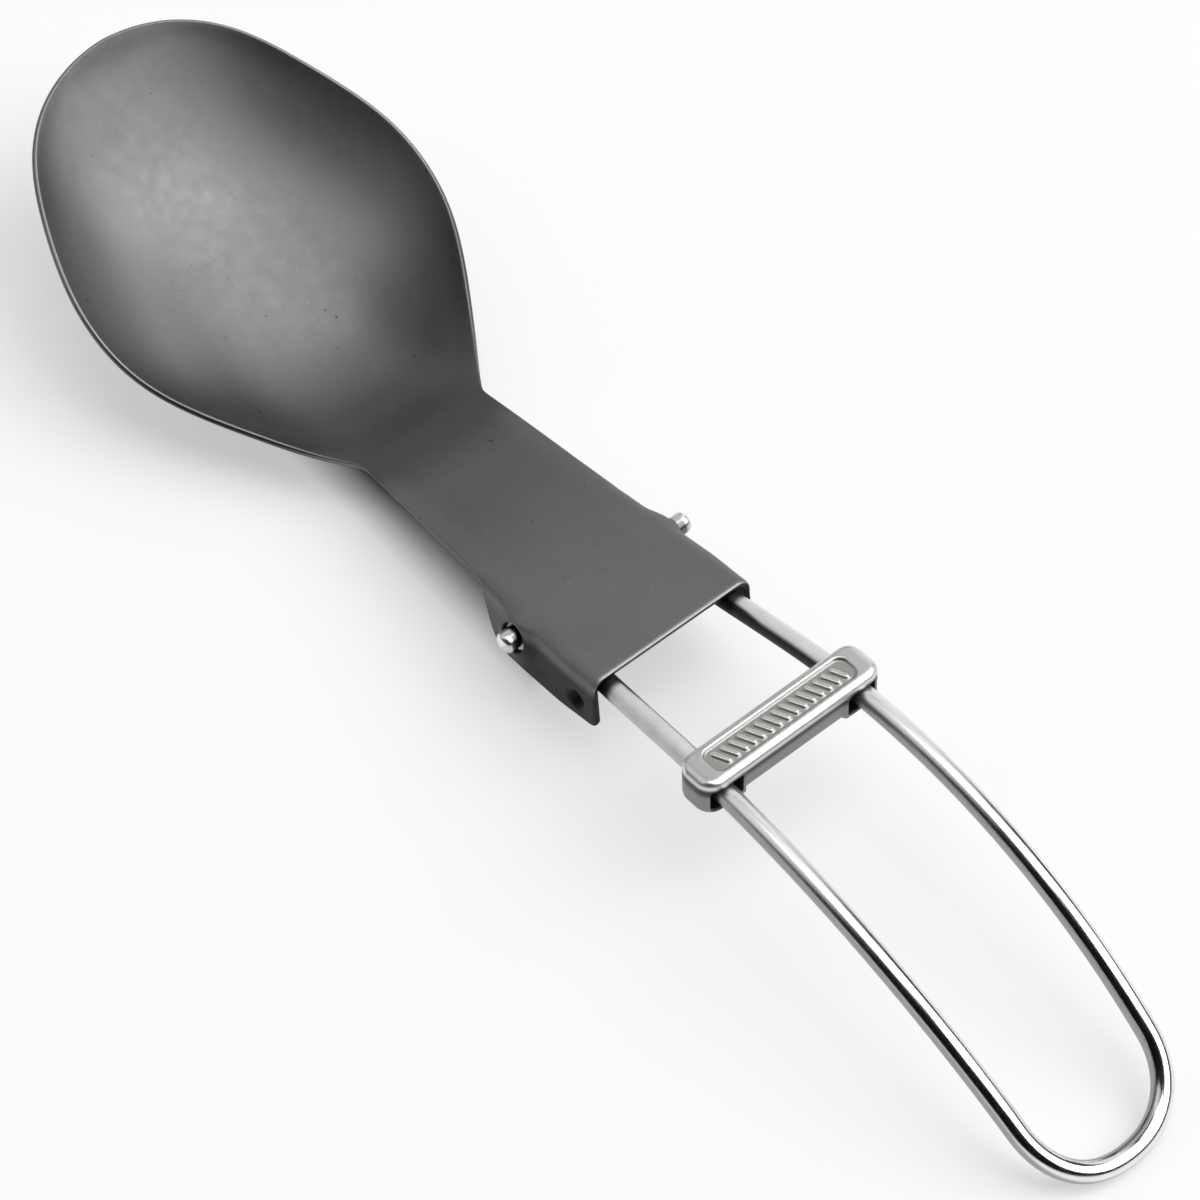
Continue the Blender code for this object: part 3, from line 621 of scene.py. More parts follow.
ahead = unit(np.gradient(path, axis=0))
over = np.stack([-np.sin(dip), 0 * dip, np.cos(dip)], -1)
over = unit(over - (over * ahead).sum(1, keepdims=True) * ahead)
beside = np.cross(ahead, over)
dome_turn = np.linspace(np.pi / 2, 0, DOME_RINGS + 1)[:-1]
dome_shift, dome_radius = DOME * np.sin(dome_turn)[:, None], WIRE / 2 * np.cos(dome_turn) ** DOME_POWER
centres = np.concatenate([path[0] - ahead[0] * dome_shift, path, path[-1] + ahead[-1] * dome_shift[::-1]])
radii = np.concatenate([dome_radius, np.full(WIRE_RINGS, WIRE / 2), dome_radius[::-1]])
around = np.linspace(0, 2 * np.pi, WIRE_SIDES, endpoint=False)
sides = np.cos(around)[:, None] * held(over)[:, None] + np.sin(around)[:, None] * held(beside)[:, None]
tube = (centres[:, None] + radii[:, None, None] * sides).reshape(-1, 3)

# %% [markdown]
# The wire is satin from the hinge to where the lock rests, and fades to a polish towards
# the loop. Shade is painted on it where little light reaches: on its underside and its inner
# side, inside the channel and on the pins' flanks. The attribute "round" says how far round the
# wire and how far along it each point is, for the material's drawing lines.

# %% Where the wire is satin and where shade is painted on it
AT_LOCK, PAST_LOCK = (LOCK_RUN - 1.5, LOCK_RUN + 1.5), (LOCK_RUN + 3, LOCK_RUN + 33)
BY_PIN, PIN_SATIN = (1, 2), 0.3
LOWER_HALF, POLISHED_UNDER_SHADE, SATIN_UNDER_SHADE = (0.85, 0.55), 0.62, 0.3
INNER_ANGLE, FROM_BEND, INNER_SHADE = (36, 52), (3, 6), 0.95
SHELTER, SHELTER_TURN = (18, 14), 16
PIN_FLANK, PIN_RUN, TIP_CLEAR, PIN_SHADE = (0.1, 0.6), (1.2, 0.4), (0, 0.3), 0.85
IN_CHANNEL, EAR_SHADE, CHANNEL_SHADE_SHARE = (PIN_X + 1.6, PIN_X + 0.7), 0.15, 0.93
run_of, from_middle = np.repeat(held(run_even), WIRE_SIDES), np.abs(tube[:, 1])
up, outward = (WIRE / 2 * np.tile(wave, len(centres)) for wave in (np.cos(around), np.sin(around)))
wear_and_sheen = between(run_of, AT_LOCK, 1, 0)
satin = (wear_and_sheen + between(run_of, PAST_LOCK, 1, 0)) / 2 * between(run_of, BY_PIN, PIN_SATIN)
# Painted shade: the wire's underside, its side turned in towards the other leg, the pins' flanks and the
# length inside the channel are darkened where little light falls.
wire_underside_shade = between(up, LOWER_HALF)
turned_in = np.degrees(np.arctan2(-outward, up)) + SHELTER_TURN * between(run_of, SHELTER)
wire_inner_shade = between(turned_in, INNER_ANGLE) * between(run_of, FROM_BEND)
painted_wire_shade = (1 - wear_and_sheen) * POLISHED_UNDER_SHADE * wire_underside_shade
painted_wire_shade += wear_and_sheen * np.maximum(SATIN_UNDER_SHADE * wire_underside_shade, INNER_SHADE * wire_inner_shade)
own_tip = pin_tip - PIN_SHORT * (tube[:, 1] > 0)
pin_flank_shade = between(outward / (WIRE / 2), PIN_FLANK) * between(run_of, PIN_RUN)
pin_flank_shade *= between(own_tip - from_middle, TIP_CLEAR)
channel_shade = between(run_of, IN_CHANNEL) * (from_middle < ear_face - EAR_SHADE)
painted_wire_shade = 1 - (1 - np.maximum(painted_wire_shade, PIN_SHADE * pin_flank_shade)) * (1 - CHANNEL_SHADE_SHARE * channel_shade)
round_place = np.column_stack([up, outward, np.repeat(held(distance_along(path)), WIRE_SIDES)]) * MM

tube, tube_faces, kept = weld(tube, [grid_faces(len(centres), WIRE_SIDES, closed=True)])
handle = make_piece("bent_wire", to_row(tube), tube_faces, {"satin": satin[kept], "painted_wire_shade": painted_wire_shade[kept]},
                    places=("round", round_place[kept]))

# %% [markdown]
# ## The sliding lock: a small casting with two slots
# The real lock is cast, so every edge is soft. It is a section of bottom, front, top and
# back that is carried across the spoon and rounded off at both ends. The long sides are set
# back between the slots, and the top has a sunken panel with slanted grip bars.

# %% The block's outline
LOCK_CORNER, LOCK_EDGE, LOCK_END_EDGE, END_PROUD = 2.0, 0.85, 1.2, 0.2
END_LIFT, EDGE_LOSS, EDGE_LEAST = 0.6, 0.55, 0.02
WAIST, WAIST_ENDS, WAIST_TOP, TRAVEL_SAMPLES = 0.5, (0.1, 0.6), (0.25, -0.1), 200
travelled = leg_half(np.linspace(LOCK_RUN - LOCK_TO_NECK - LOCK_WIDTH / 2,
                                 LOCK_RUN + LOCK_TO_LOOP + LOCK_WIDTH / 2, TRAVEL_SAMPLES))
slot_in = float(travelled.min()) - WIRE / 2 - SLOT_GAP
slot_out = float(travelled.max()) + WIRE / 2 + SLOT_GAP
slot_height = WIRE / 2 + SLOT_GAP
lock_half = slot_out + LOCK_END + END_PROUD
lock_bottom, lock_top = -slot_height - LOCK_FLOOR, slot_height + LOCK_ROOF
print("lock:", round(2 * lock_half, 2), "mm long; slots from", round(slot_in, 2), "to", round(slot_out, 2))


def rounding(y, radius):
    """What a quarter circle of the radius takes off near the block's ends, from 0 to 1."""
    past = np.clip((np.abs(y) - lock_half + radius) / radius, 0, 1)
    return 1 - np.sqrt(1 - past**2)


def lock_limits(y):
    """Half width, bottom, top and edge radius at y: quarter circles take them in at the ends."""
    lost = LOCK_END_EDGE * rounding(y, LOCK_END_EDGE)
    return (LOCK_WIDTH / 2 - LOCK_CORNER * rounding(y, LOCK_CORNER), lock_bottom + lost * END_LIFT,
            lock_top - lost, np.maximum(LOCK_EDGE - lost * EDGE_LOSS, EDGE_LEAST))


def lock_front(y, z):
    """Distance of the front face from the middle: flat, round at top and bottom edges, and
    set back by the waist between the slots, below the top plate."""
    width, bottom, top, edge = lock_limits(y)
    over = np.clip(np.maximum(bottom + edge - z, z - top + edge), 0, edge)
    waist = WAIST * between(slot_in - np.abs(y), WAIST_ENDS) * between(z - slot_height, WAIST_TOP)
    return width - edge + np.sqrt(np.maximum(edge**2 - over**2, 0)) - waist


# %% The grip panel on top
PANEL_LENGTH, PANEL_WIDTH, PANEL_SUNK, PANEL_CORNER, FLANK = 9.5, 1.55, 0.32, 1.1, 0.34
BARS, BAR_PITCH, BAR_LENGTH, BAR_WIDTH, BAR_RISE, BAR_SLANT = 15, 1.13, 2.25, 0.68, 0.85, math.radians(24)


def oblong(x, y, half_x, half_y, corner):
    """1 inside a rounded rectangle and 0 outside it, with a soft flank along its edge."""
    dx, dy = np.abs(x) - half_x + corner, np.abs(y) - half_y + corner
    outside = np.hypot(np.maximum(dx, 0), np.maximum(dy, 0)) + np.minimum(np.maximum(dx, dy), 0) - corner
    return soft_step(0.5 - outside / FLANK)


def panel_depth(x, y):
    """How far the top is sunk: a rounded rectangle, out of which slanted bars rise again."""
    c, s = math.cos(BAR_SLANT), math.sin(BAR_SLANT)
    raised = np.zeros_like(x)
    for k in range(BARS):
        middle = (k - (BARS - 1) / 2) * BAR_PITCH
        bar_x, bar_y = c * x + s * (y - middle), -s * x + c * (y - middle)
        raised = np.maximum(raised, oblong(bar_x, bar_y, BAR_LENGTH / 2, BAR_WIDTH / 2, BAR_WIDTH / 2))
    return PANEL_SUNK * oblong(x, y, PANEL_WIDTH, PANEL_LENGTH, PANEL_CORNER) * (1 - BAR_RISE * raised)


# %% Carry the section across the spoon: bottom, front and top of the front half
LOCK_ROWS, END_ROWS, EDGE_LINES, BOTTOM_LINES, WALL_LINES, TOP_LINES = 130, 16, 8, 9, 24, 30
end_turn = np.linspace(0, np.pi / 2, END_ROWS)
half_y = np.concatenate([np.linspace(0, lock_half - LOCK_END_EDGE, LOCK_ROWS)[:-1],
                         lock_half - LOCK_END_EDGE + LOCK_END_EDGE * np.sin(end_turn)])
lock_y = np.unique(np.round(np.concatenate([-half_y, half_y]), 6))
y_grid = lock_y[:, None]
width, bottom, top, edge = lock_limits(y_grid)
edge_turn = np.linspace(0, np.pi / 2, EDGE_LINES)[None, :]
rise = np.concatenate([(1 - np.cos(edge_turn)) * edge + bottom,
                       bottom + edge + (top - bottom - 2 * edge) * np.linspace(0, 1, WALL_LINES)[None, 1:],
                       top - edge + edge * np.sin(edge_turn[:, 1:])], axis=1)
front_x = lock_front(y_grid + 0 * rise, rise)
under_x = front_x[:, :1] * np.linspace(0, 1, BOTTOM_LINES)[None, :-1]
top_x = front_x[:, -1:] * np.linspace(1, 0, TOP_LINES)[None, 1:]
section_x = np.concatenate([under_x, front_x, top_x], axis=1)
section_z = np.concatenate([bottom + 0 * under_x, rise, top + 0 * top_x], axis=1)
lock_grid = np.stack([section_x, y_grid + 0 * section_x, section_z], -1)
print("lock grid:", lock_grid.shape[:2])

# %% Cut the slots: a block of the grid gives way to rings that lead through the casting
LIP, MOUTH_POWER, FACE_RINGS, LIP_RINGS, DEEP_RINGS = 0.22, 8, 5, 7, 5
PAST_IN, PAST_OUT, PAST_FLOOR, PAST_ROOF = 0.42, 0.4, 0.3, 0.45


def slot_rings(side):
    """The block to leave out on the front half, and rings from its border into the slot.
    A border point (u, v) of a square lands on the rim at (u, v) / (u^8 + v^8)^(1/8)."""
    rows = np.where((side * lock_y > slot_in - PAST_IN) & (side * lock_y < slot_out + PAST_OUT))[0]
    heights = rise[len(lock_y) // 2]
    lines = np.where((heights > -slot_height - PAST_FLOOR) & (heights < slot_height + PAST_ROOF))[0]
    lines = lines + under_x.shape[1]
    block = r0, r1, c0, c1 = rows[0], rows[-1], lines[0], lines[-1]
    at_row, at_line = block_border(*block)
    border = lock_grid[at_row, at_line]
    u, v = (at_row - r0) / (r1 - r0) * 2 - 1, (at_line - c0) / (c1 - c0) * 2 - 1
    squeeze = (np.abs(u) ** MOUTH_POWER + np.abs(v) ** MOUTH_POWER) ** (1 / MOUTH_POWER)
    middle, half = side * (slot_in + slot_out) / 2, (slot_out - slot_in) / 2
    rim, mouth = (np.stack([middle + u / squeeze * (half + lip), v / squeeze * (slot_height + lip)], -1)
                  for lip in (0, LIP))
    rings = [border]
    for t in np.linspace(0, 1, FACE_RINGS)[1:]:
        yz = border[:, 1:] * (1 - t) + mouth * t
        rings.append(np.column_stack([lock_front(*yz.T), yz]))
    for turn in np.linspace(0, np.pi / 2, LIP_RINGS)[1:]:
        yz = mouth * (1 - math.sin(turn)) + rim * math.sin(turn)
        rings.append(np.column_stack([lock_front(*mouth.T) - LIP * (1 - math.cos(turn)), yz]))
    deep = rings[-1]
    rings += [deep * (t, 1, 1) for t in np.linspace(1, 0, DEEP_RINGS)[1:]]
    return block, np.stack(rings)


# %% Close the ends, mirror front to back, and weld
CAP_ROWS, LOCK_GRAIN = 9, 2e-4
wide = lock_grid.shape[1]
lock_quads = grid_faces(*lock_grid.shape[:2])
keep = np.ones(len(lock_quads), bool)
shrink = np.linspace(1, 0, CAP_ROWS)[:, None]
cap_middle = (lock_top + lock_bottom) / 2
lock_parts = []
for end in (lock_grid[0], lock_grid[-1]):
    cap = np.stack([end[:, 0] * shrink, end[:, 1] + 0 * shrink,
                    (end[:, 2] - cap_middle) * shrink + cap_middle], -1)
    lock_parts.append((cap.reshape(-1, 3), grid_faces(CAP_ROWS, wide)))
for block, rings in (slot_rings(side) for side in (1, -1)):
    keep &= outside_block(lock_quads, wide, *block)
    lock_parts.append((rings.reshape(-1, 3), grid_faces(len(rings), rings.shape[1], closed=True)))
lock_parts.insert(0, (lock_grid.reshape(-1, 3), lock_quads[keep]))
lock_points, lock_groups = with_mirror(*joined(lock_parts), (-1, 1, 1), LOCK_GRAIN)

# %% Press the panel into the top, and note what is sunk and where shade is painted on the walls and in the crease
TOP_SKIN, UNSHADED_TOP_FROM = 0.01, (0.2, 0.7)
CREASE_FROM, CREASE_DROP, CREASE_FADE, CREASE_HIGH = 0.5, 0.6, (0, 0.6), 0.8
on_top = lock_points[:, 2] > lock_top - TOP_SKIN
sunk_by = np.where(on_top, panel_depth(lock_points[:, 0], lock_points[:, 1]), 0)
lock_points[:, 2] -= sunk_by
# Painted shade: the walls below the top are given a darker grey than the top.
unshaded_top = between(lock_points[:, 2] - slot_height, UNSHADED_TOP_FROM)
# Painted shade in the crease under the top plate.
crease_from = CREASE_FROM - CREASE_DROP * between(slot_in - np.abs(lock_points[:, 1]), CREASE_FADE)
crease_shade = soft_step((lock_points[:, 2] - crease_from) / CREASE_HIGH)

# %% Set it on the wires
SHARP_FROM = 70
seat, seat_dip = (v[0] for v in side_view(np.array([LOCK_RUN])))
seat_axes = np.array([[math.cos(seat_dip), 0, math.sin(seat_dip)], [0, 1, 0],
                      [-math.sin(seat_dip), 0, math.cos(seat_dip)]])
placed = lock_points @ seat_axes + (seat[0], 0, seat[1])
lock = make_piece("sliding_lock", to_row(placed), [g[:, ::-1] for g in lock_groups],
                  {"sunk": sunk_by / PANEL_SUNK, "unshaded_top": unshaded_top, "crease_shade": crease_shade}, sharp=SHARP_FROM)

# %% [markdown]
# ## Finishes
# Each finish is a few noises on Object coordinates, mixed by the point attributes that the
# mesh carries. The head is blasted titanium: a dark, rough metal with cloudy patches,
# pin-prick specks, a paler rim where the sheet was cut, and the painted shade, highlight and
# sheen worked out above.

# %% Node helpers
def finish(name):
    """A new node material with its node tree and its Object coordinates."""
    made = bpy.data.materials.new(name)
    made.use_nodes = True
    return made, made.node_tree, node(made.node_tree, "ShaderNodeTexCoord").outputs["Object"]


def node(tree, kind, inputs=None, **settings):
    """Adds a node, sets its settings, and fills or links its inputs, by name or number."""
    made = tree.nodes.new(kind)
    for key, value in settings.items():
        setattr(made, key, value)
    for key, value in (inputs or {}).items():
        if isinstance(value, bpy.types.NodeSocket):
            tree.links.new(value, made.inputs[key])
        else:
            made.inputs[key].default_value = value
    return made


def noise(tree, place, size_mm, detail=2.0, roughness=0.5):
    """Noise whose lumps are about size_mm wide, from 0 to 1."""
    return node(tree, "ShaderNodeTexNoise", {"Vector": place, "Scale": 1 / (size_mm * MM), "Detail": detail,
                                             "Roughness": roughness}).outputs[0]


def shifted(tree, place, **inputs):
    """Coordinates moved or scaled by a Mapping node."""
    return node(tree, "ShaderNodeMapping", {"Vector": place, **inputs}).outputs[0]


def remap(tree, value, low, high, to_low=0.0, to_high=1.0):
    """Spreads low..high over to_low..to_high, held at the ends."""
    return node(tree, "ShaderNodeMapRange", {"Value": value, "From Min": low, "From Max": high,
                                             "To Min": to_low, "To Max": to_high}).outputs[0]


def mixed(tree, share, first, second):
    """Colour between first and second. The Mix node's colours are its inputs 6 and 7 and its
    output 2; the other numbers are for its values and vectors."""
    return node(tree, "ShaderNodeMix", data_type="RGBA", inputs={0: share, 6: first, 7: second}).outputs[2]


def arithmetic(tree, operation, first, second):
    """One Math node."""
    return node(tree, "ShaderNodeMath", {0: first, 1: second}, operation=operation).outputs[0]


def times(tree, first, second):
    """One value times another."""
    return arithmetic(tree, "MULTIPLY", first, second)


def plus(tree, first, second):
    """One value plus another."""
    return arithmetic(tree, "ADD", first, second)


def attribute(tree, name, output="Fac"):
    """A point attribute of the mesh."""
    return node(tree, "ShaderNodeAttribute", attribute_name=name).outputs[output]


def dress(piece, material, colour, roughness, height, strength, depth_mm):
    """Links a bare metal's colour, roughness and bump, and gives the piece the material."""
    tree = material.node_tree
    shader = tree.nodes["Principled BSDF"]
    shader.inputs["Metallic"].default_value = 1.0
    bump = node(tree, "ShaderNodeBump", {"Height": height, "Strength": strength, "Distance": depth_mm * MM})
    for value, socket in ((colour, "Base Color"), (roughness, "Roughness"), (bump.outputs[0], "Normal")):
        tree.links.new(value, shader.inputs[socket])
    piece.data.materials.append(material)


# %% Blasted titanium for the head
SHADE, PALE, MOTTLED = (0.206, 0.207, 0.210, 1), (0.228, 0.228, 0.230, 1), (0.180, 0.181, 0.184, 1)
# Of the greys below, the ring's pale grey is a painted sheen, the cut metal's grey also paints the rear
# edge's highlight, and the near-black paints shade.
DARK_SPECK, LIGHT_SPECK, SHEEN_GREY = (0.05, 0.05, 0.052, 1), (0.30, 0.30, 0.30, 1), (0.30, 0.30, 0.303, 1)
CUT_METAL_AND_HIGHLIGHT, SHADE_DARK = (0.50, 0.50, 0.51, 1), (0.012, 0.012, 0.013, 1)
# each noise: its lumps' size in millimetres, then its detail and roughness if not the usual
CLOUDS, MOTTLE, GRAIN, SPECKS, PALE_SPECKS = (11, 3), (1.6, 4, 0.6), (0.16,), (0.8, 1), (0.7, 1)
NOISE_SPREAD, DARK_FROM, LIGHT_FROM, RIM_FROM = (0.3, 0.7), (0.765, 0.80), (0.75, 0.79), (0.2, 0.9)
MOTTLE_SHARE, DARK_SHARE, LIGHT_SHARE, LIGHT_SHIFT = 0.35, 0.6, 0.5, (0.3, 0.1, 0.2)
ROUGHNESS, RIM_SMOOTHER = (0.50, 0.56), 0.16
GRAIN_HEIGHT, MOTTLE_HEIGHT, BLAST_STRENGTH, BLAST_DEPTH = 0.6, 0.4, 0.25, 0.03
titanium, tree, place = finish("blasted_titanium")
clouds = remap(tree, noise(tree, place, *CLOUDS), *NOISE_SPREAD)
mottle = remap(tree, noise(tree, place, *MOTTLE), *NOISE_SPREAD)
grain = noise(tree, place, *GRAIN)
dark_specks = remap(tree, noise(tree, place, *SPECKS), *DARK_FROM)
light_specks = remap(tree, noise(tree, shifted(tree, place, Location=LIGHT_SHIFT), *PALE_SPECKS), *LIGHT_FROM)
rim = remap(tree, attribute(tree, "cut_edge_and_highlight"), *RIM_FROM)
colour = mixed(tree, clouds, SHADE, PALE)
for share, over_it in ((times(tree, mottle, MOTTLE_SHARE), MOTTLED),
                       (times(tree, dark_specks, DARK_SHARE), DARK_SPECK),
                       (times(tree, light_specks, LIGHT_SHARE), LIGHT_SPECK),
                       # The ring's paler grey is a painted sheen, the cut metal also a painted highlight on
                       # the rear edge, and the near-black is painted shade.
                       (attribute(tree, "wear_and_sheen"), SHEEN_GREY),
                       (rim, CUT_METAL_AND_HIGHLIGHT),
                       (attribute(tree, "painted_shade"), SHADE_DARK)):
    colour = mixed(tree, share, colour, over_it)
rough = arithmetic(tree, "SUBTRACT", remap(tree, mottle, 0, 1, *ROUGHNESS), times(tree, rim, RIM_SMOOTHER))
height = plus(tree, times(tree, grain, GRAIN_HEIGHT), times(tree, mottle, MOTTLE_HEIGHT))
dress(head, titanium, colour, rough, height, BLAST_STRENGTH, BLAST_DEPTH)

# %% [markdown]
# The wire is bright metal. `satin` makes it rougher where the lock slides, painted shade
# darkens it where little light reaches, and its fine drawing lines run along it.

# %% Drawn wire
BRIGHT, SMUDGED, WIRE_SHADE_DARK = (0.88, 0.88, 0.87, 1), (0.80, 0.80, 0.79, 1), (0.02, 0.02, 0.02, 1)
LINE_SIZE, LINE_STRETCH, SMUDGES, SMUDGE_FROM = 0.12, (1, 1, 0.04), (2.2, 3), (0.35, 0.7)
POLISH, SATIN_ROUGHER, LINE_STRENGTH, LINE_DEPTH = (0.14, 0.19), 0.4, 0.12, 0.01
drawn, tree, place = finish("drawn_wire")
lines = noise(tree, shifted(tree, attribute(tree, "round", "Vector"), Scale=LINE_STRETCH), LINE_SIZE)
smudges = remap(tree, noise(tree, place, *SMUDGES), *SMUDGE_FROM)
# The near-black is painted shade, laid on by the wire's shade attribute.
colour = mixed(tree, attribute(tree, "painted_wire_shade"), mixed(tree, smudges, BRIGHT, SMUDGED), WIRE_SHADE_DARK)
rough = plus(tree, remap(tree, smudges, 0, 1, *POLISH), times(tree, attribute(tree, "satin"), SATIN_ROUGHER))
dress(handle, drawn, colour, rough, lines, LINE_STRENGTH, LINE_DEPTH)

# %% [markdown]
# The lock is a silvery casting with a slightly lumpy skin. Its walls below the top are painted
# darker as shade, most of all in the crease under the top plate, and the sunk panel is darker,
# warmer and rougher.

# %% Cast silver for the lock
SILVER, SILVER_PALE, PANEL_DARK = (0.70, 0.70, 0.69, 1), (0.76, 0.76, 0.75, 1), (0.36, 0.35, 0.33, 1)
# The wall's darker grey is painted shade, and so is the crease's near-black.
SHADED_WALL, CREASE_SHADE_DARK = (0.23, 0.23, 0.225, 1), (0.05, 0.05, 0.05, 1)
LUMPS, PITS, PANEL_DARK_FROM, PANEL_DARK_SHARE, PANEL_DARK_LUMPS = (0.9, 3), (0.25,), (0.35, 1.1), 0.85, 0.3
CAST_ROUGHNESS, PANEL_ROUGHER = (0.32, 0.38), 0.15
LUMP_HEIGHT, PIT_HEIGHT, CAST_STRENGTH, CAST_DEPTH = 0.85, 0.15, 0.3, 0.06
cast, tree, place = finish("cast_silver")
lumps, pits = noise(tree, place, *LUMPS), noise(tree, place, *PITS)
panel_darkening = plus(tree, attribute(tree, "sunk"), times(tree, lumps, PANEL_DARK_LUMPS))
panel_darkening = times(tree, remap(tree, panel_darkening, *PANEL_DARK_FROM), PANEL_DARK_SHARE)
# The crease's near-black, laid over the wall, is painted shade.
wall = mixed(tree, attribute(tree, "crease_shade"), SHADED_WALL, CREASE_SHADE_DARK)
colour = mixed(tree, attribute(tree, "unshaded_top"), wall, mixed(tree, lumps, SILVER, SILVER_PALE))
colour = mixed(tree, panel_darkening, colour, PANEL_DARK)
rough = plus(tree, remap(tree, pits, *NOISE_SPREAD, *CAST_ROUGHNESS), times(tree, panel_darkening, PANEL_ROUGHER))
height = plus(tree, times(tree, lumps, LUMP_HEIGHT), times(tree, pits, PIT_HEIGHT))
dress(lock, cast, colour, rough, height, CAST_STRENGTH, CAST_DEPTH)

# %% Hang each piece on its body
for piece, solid, body, slot in ((head, "spoon_head", "head", "dark_titanium"),
                                 (handle, "wire_handle", "handle", "bright_titanium"),
                                 (lock, "slide_lock", "lock", "cast_silver")):
    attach(piece, body)
    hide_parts(solid)
    print(piece.name, "replaces", solid, "and wears", piece.data.materials[0].name)

# %% [markdown]
# ## The studio
# The spoon lies on a round sheet of white paper, wide and curled up at its rim so that no
# edge shows. Half of its white is its own glow, seen by the camera and in the metal, so the
# soft shadow stays. Under the neck and the bowl's belly the glow ends: a painted contact
# shadow that keeps the paper there dark. The sheet is clear from below, so the underside can be seen.

# %% The sheet of paper
FLOOR_FLAT, FLOOR_CURVE, FLOOR_LEVEL = 3.6, 0.5, -0.0002  # metres
FLOOR_SIDES, FLOOR_ROWS, FLOOR_GRAIN = 96, 13, 1e-5
climb = np.linspace(0, np.pi / 2, FLOOR_ROWS)
reach = np.concatenate([[0, FLOOR_FLAT / 2], FLOOR_FLAT + FLOOR_CURVE * np.sin(climb)])[:, None]
lift = np.concatenate([[0, 0], FLOOR_CURVE * (1 - np.cos(climb))])[:, None] + FLOOR_LEVEL
compass = np.linspace(0, 2 * np.pi, FLOOR_SIDES, endpoint=False)
sheet = np.stack([reach * np.cos(compass), reach * np.sin(compass), lift + 0 * compass], -1).reshape(-1, 3)
sheet, sheet_faces, kept = weld(sheet, [grid_faces(len(reach), FLOOR_SIDES, closed=True)], FLOOR_GRAIN)
floor = make_piece("floor", sheet, [group[:, ::-1] for group in sheet_faces])

# %% White paper that glows a little
PAPER, PAPER_PALE, PAPER_CLOUD, PAPER_ROUGHNESS = (0.93, 0.93, 0.93, 1), (0.95, 0.95, 0.95, 1), 30, 0.9
GLOW_SHARE = 0.5
SHADOW_MIDDLE, SHADOW_SIDE, SHADOW_END = 36, (5, 10), (33, 39)  # millimetres
paper, tree, place = finish("white_paper")
shader = tree.nodes["Principled BSDF"]
tree.links.new(mixed(tree, noise(tree, place, PAPER_CLOUD), PAPER, PAPER_PALE), shader.inputs["Base Color"])
shader.inputs["Roughness"].default_value = PAPER_ROUGHNESS
shader.inputs["Specular IOR Level"].default_value = 0.0
ray = node(tree, "ShaderNodeLightPath").outputs
seen = plus(tree, plus(tree, ray["Is Camera Ray"], ray["Is Glossy Ray"]), ray["Is Transmission Ray"])
across = node(tree, "ShaderNodeSeparateXYZ", {"Vector": place}).outputs
# A painted contact shadow: the glow is left out in a strip under the neck and the bowl's belly.
from_belly = arithmetic(tree, "SUBTRACT", across[0], SHADOW_MIDDLE * MM)
beside, beyond = (remap(tree, arithmetic(tree, "ABSOLUTE", distance, 0), low * MM, high * MM)
                  for distance, (low, high) in ((across[1], SHADOW_SIDE), (from_belly, SHADOW_END)))
glow_outside_shadow = times(tree, arithmetic(tree, "MAXIMUM", beside, beyond), GLOW_SHARE)
glow = node(tree, "ShaderNodeEmission", {"Color": (1, 1, 1, 1), "Strength": 1.0}).outputs[0]
glow_seen = times(tree, seen, glow_outside_shadow)
both = node(tree, "ShaderNodeMixShader", {0: glow_seen, 1: shader.outputs[0], 2: glow}).outputs[0]
underneath = node(tree, "ShaderNodeNewGeometry").outputs["Backfacing"]
see_through = node(tree, "ShaderNodeBsdfTransparent").outputs[0]
both = node(tree, "ShaderNodeMixShader", {0: underneath, 1: both, 2: see_through}).outputs[0]
tree.links.new(both, tree.nodes["Material Output"].inputs["Surface"])
floor.data.materials.append(paper)

# %% [markdown]
# The main soft box stands high on the camera's right and draws the bowl's bright middle.
# One hangs overhead for the plate. Two stand beyond the spoon, a wide low one on the left
# and a tall one straight behind: they put the long highlights on the wire. A weak one on
# the camera's left fills in. The room is nearly black, which gives the polish its contrast.

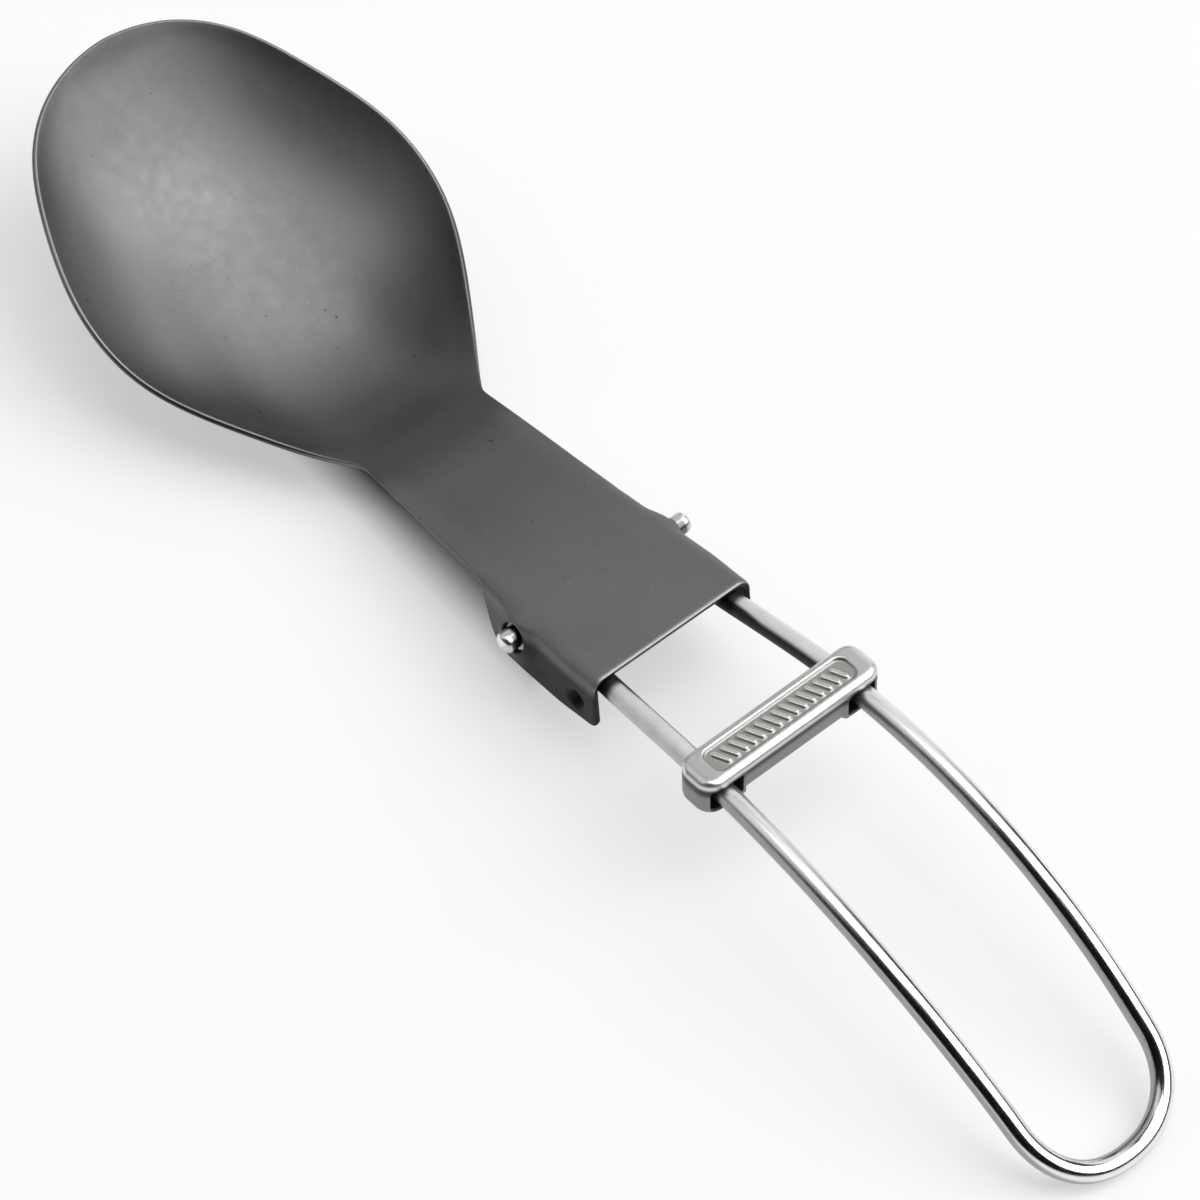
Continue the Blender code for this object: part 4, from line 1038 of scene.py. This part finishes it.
# %% Soft boxes and the dim room
BOXES = {  # azimuth and elevation in degrees, distance, width and height in metres, watts
    "key_box": (-130, 51, 2.2, 2.1, 2.1, 46),
    "top_box": (0, 88, 2.4, 1.3, 1.3, 15),
    "back_box": (8, 36, 2.4, 4.4, 1.9, 14.8),
    "edge_box": (-63, 30, 2.4, 1.2, 2.75, 8.5),
    "fill_box": (54, 53, 2.4, 1.3, 1.3, 3),
}
ROOM = (0.004, 0.004, 0.004, 1)
for name, (azimuth, elevation, distance, width, height, power) in BOXES.items():
    lamp = bpy.data.lights.new(name, "AREA")
    lamp.shape, lamp.size, lamp.size_y, lamp.energy = "RECTANGLE", width, height, power
    box = bpy.data.objects.new(name, lamp)
    a, e = math.radians(azimuth), math.radians(elevation)
    out = Vector((math.cos(e) * math.cos(a), math.cos(e) * math.sin(a), math.sin(e)))
    box.location = out * distance
    box.rotation_euler = out.to_track_quat("Z", "Y").to_euler()
    bpy.context.scene.collection.objects.link(box)
world = bpy.data.worlds.new("dim_room")
bpy.context.scene.world = world
world.use_nodes = True
world.node_tree.nodes["Background"].inputs[0].default_value = ROOM
bpy.context.scene.view_settings.view_transform = "Standard"

# %% [markdown]
# ## The camera
# It stands where the photograph was taken from: on the spoon's left, behind the hinge and
# well above the table. Its place, its line of view and its level line were fitted to the
# outlines of the neck, ears, wires, block and rim in the photograph.

# %% Camera
LENS, SENSOR = 136.325, 36.0
CAMERA_PLACE = (-0.192981, 0.189617, 0.393365)
LEVEL_LINE, VIEW_LINE = (-0.653638, -0.755319, 0.047443), (0.405908, -0.402794, -0.820363)
camera = bpy.data.objects.new("camera", bpy.data.cameras.new("camera"))
bpy.context.scene.collection.objects.link(camera)
camera.data.sensor_fit, camera.data.sensor_width, camera.data.lens = "HORIZONTAL", SENSOR, LENS
right, toward = Vector(LEVEL_LINE).normalized(), Vector(VIEW_LINE).normalized()
facing = Matrix((right, right.cross(toward).normalized(), -toward)).transposed()
camera.matrix_world = Matrix.Translation(CAMERA_PLACE) @ facing.to_4x4()
bpy.context.scene.camera = camera
print("camera:", round(Vector(CAMERA_PLACE).length, 3), "m from the origin,", round(LENS), "mm lens")
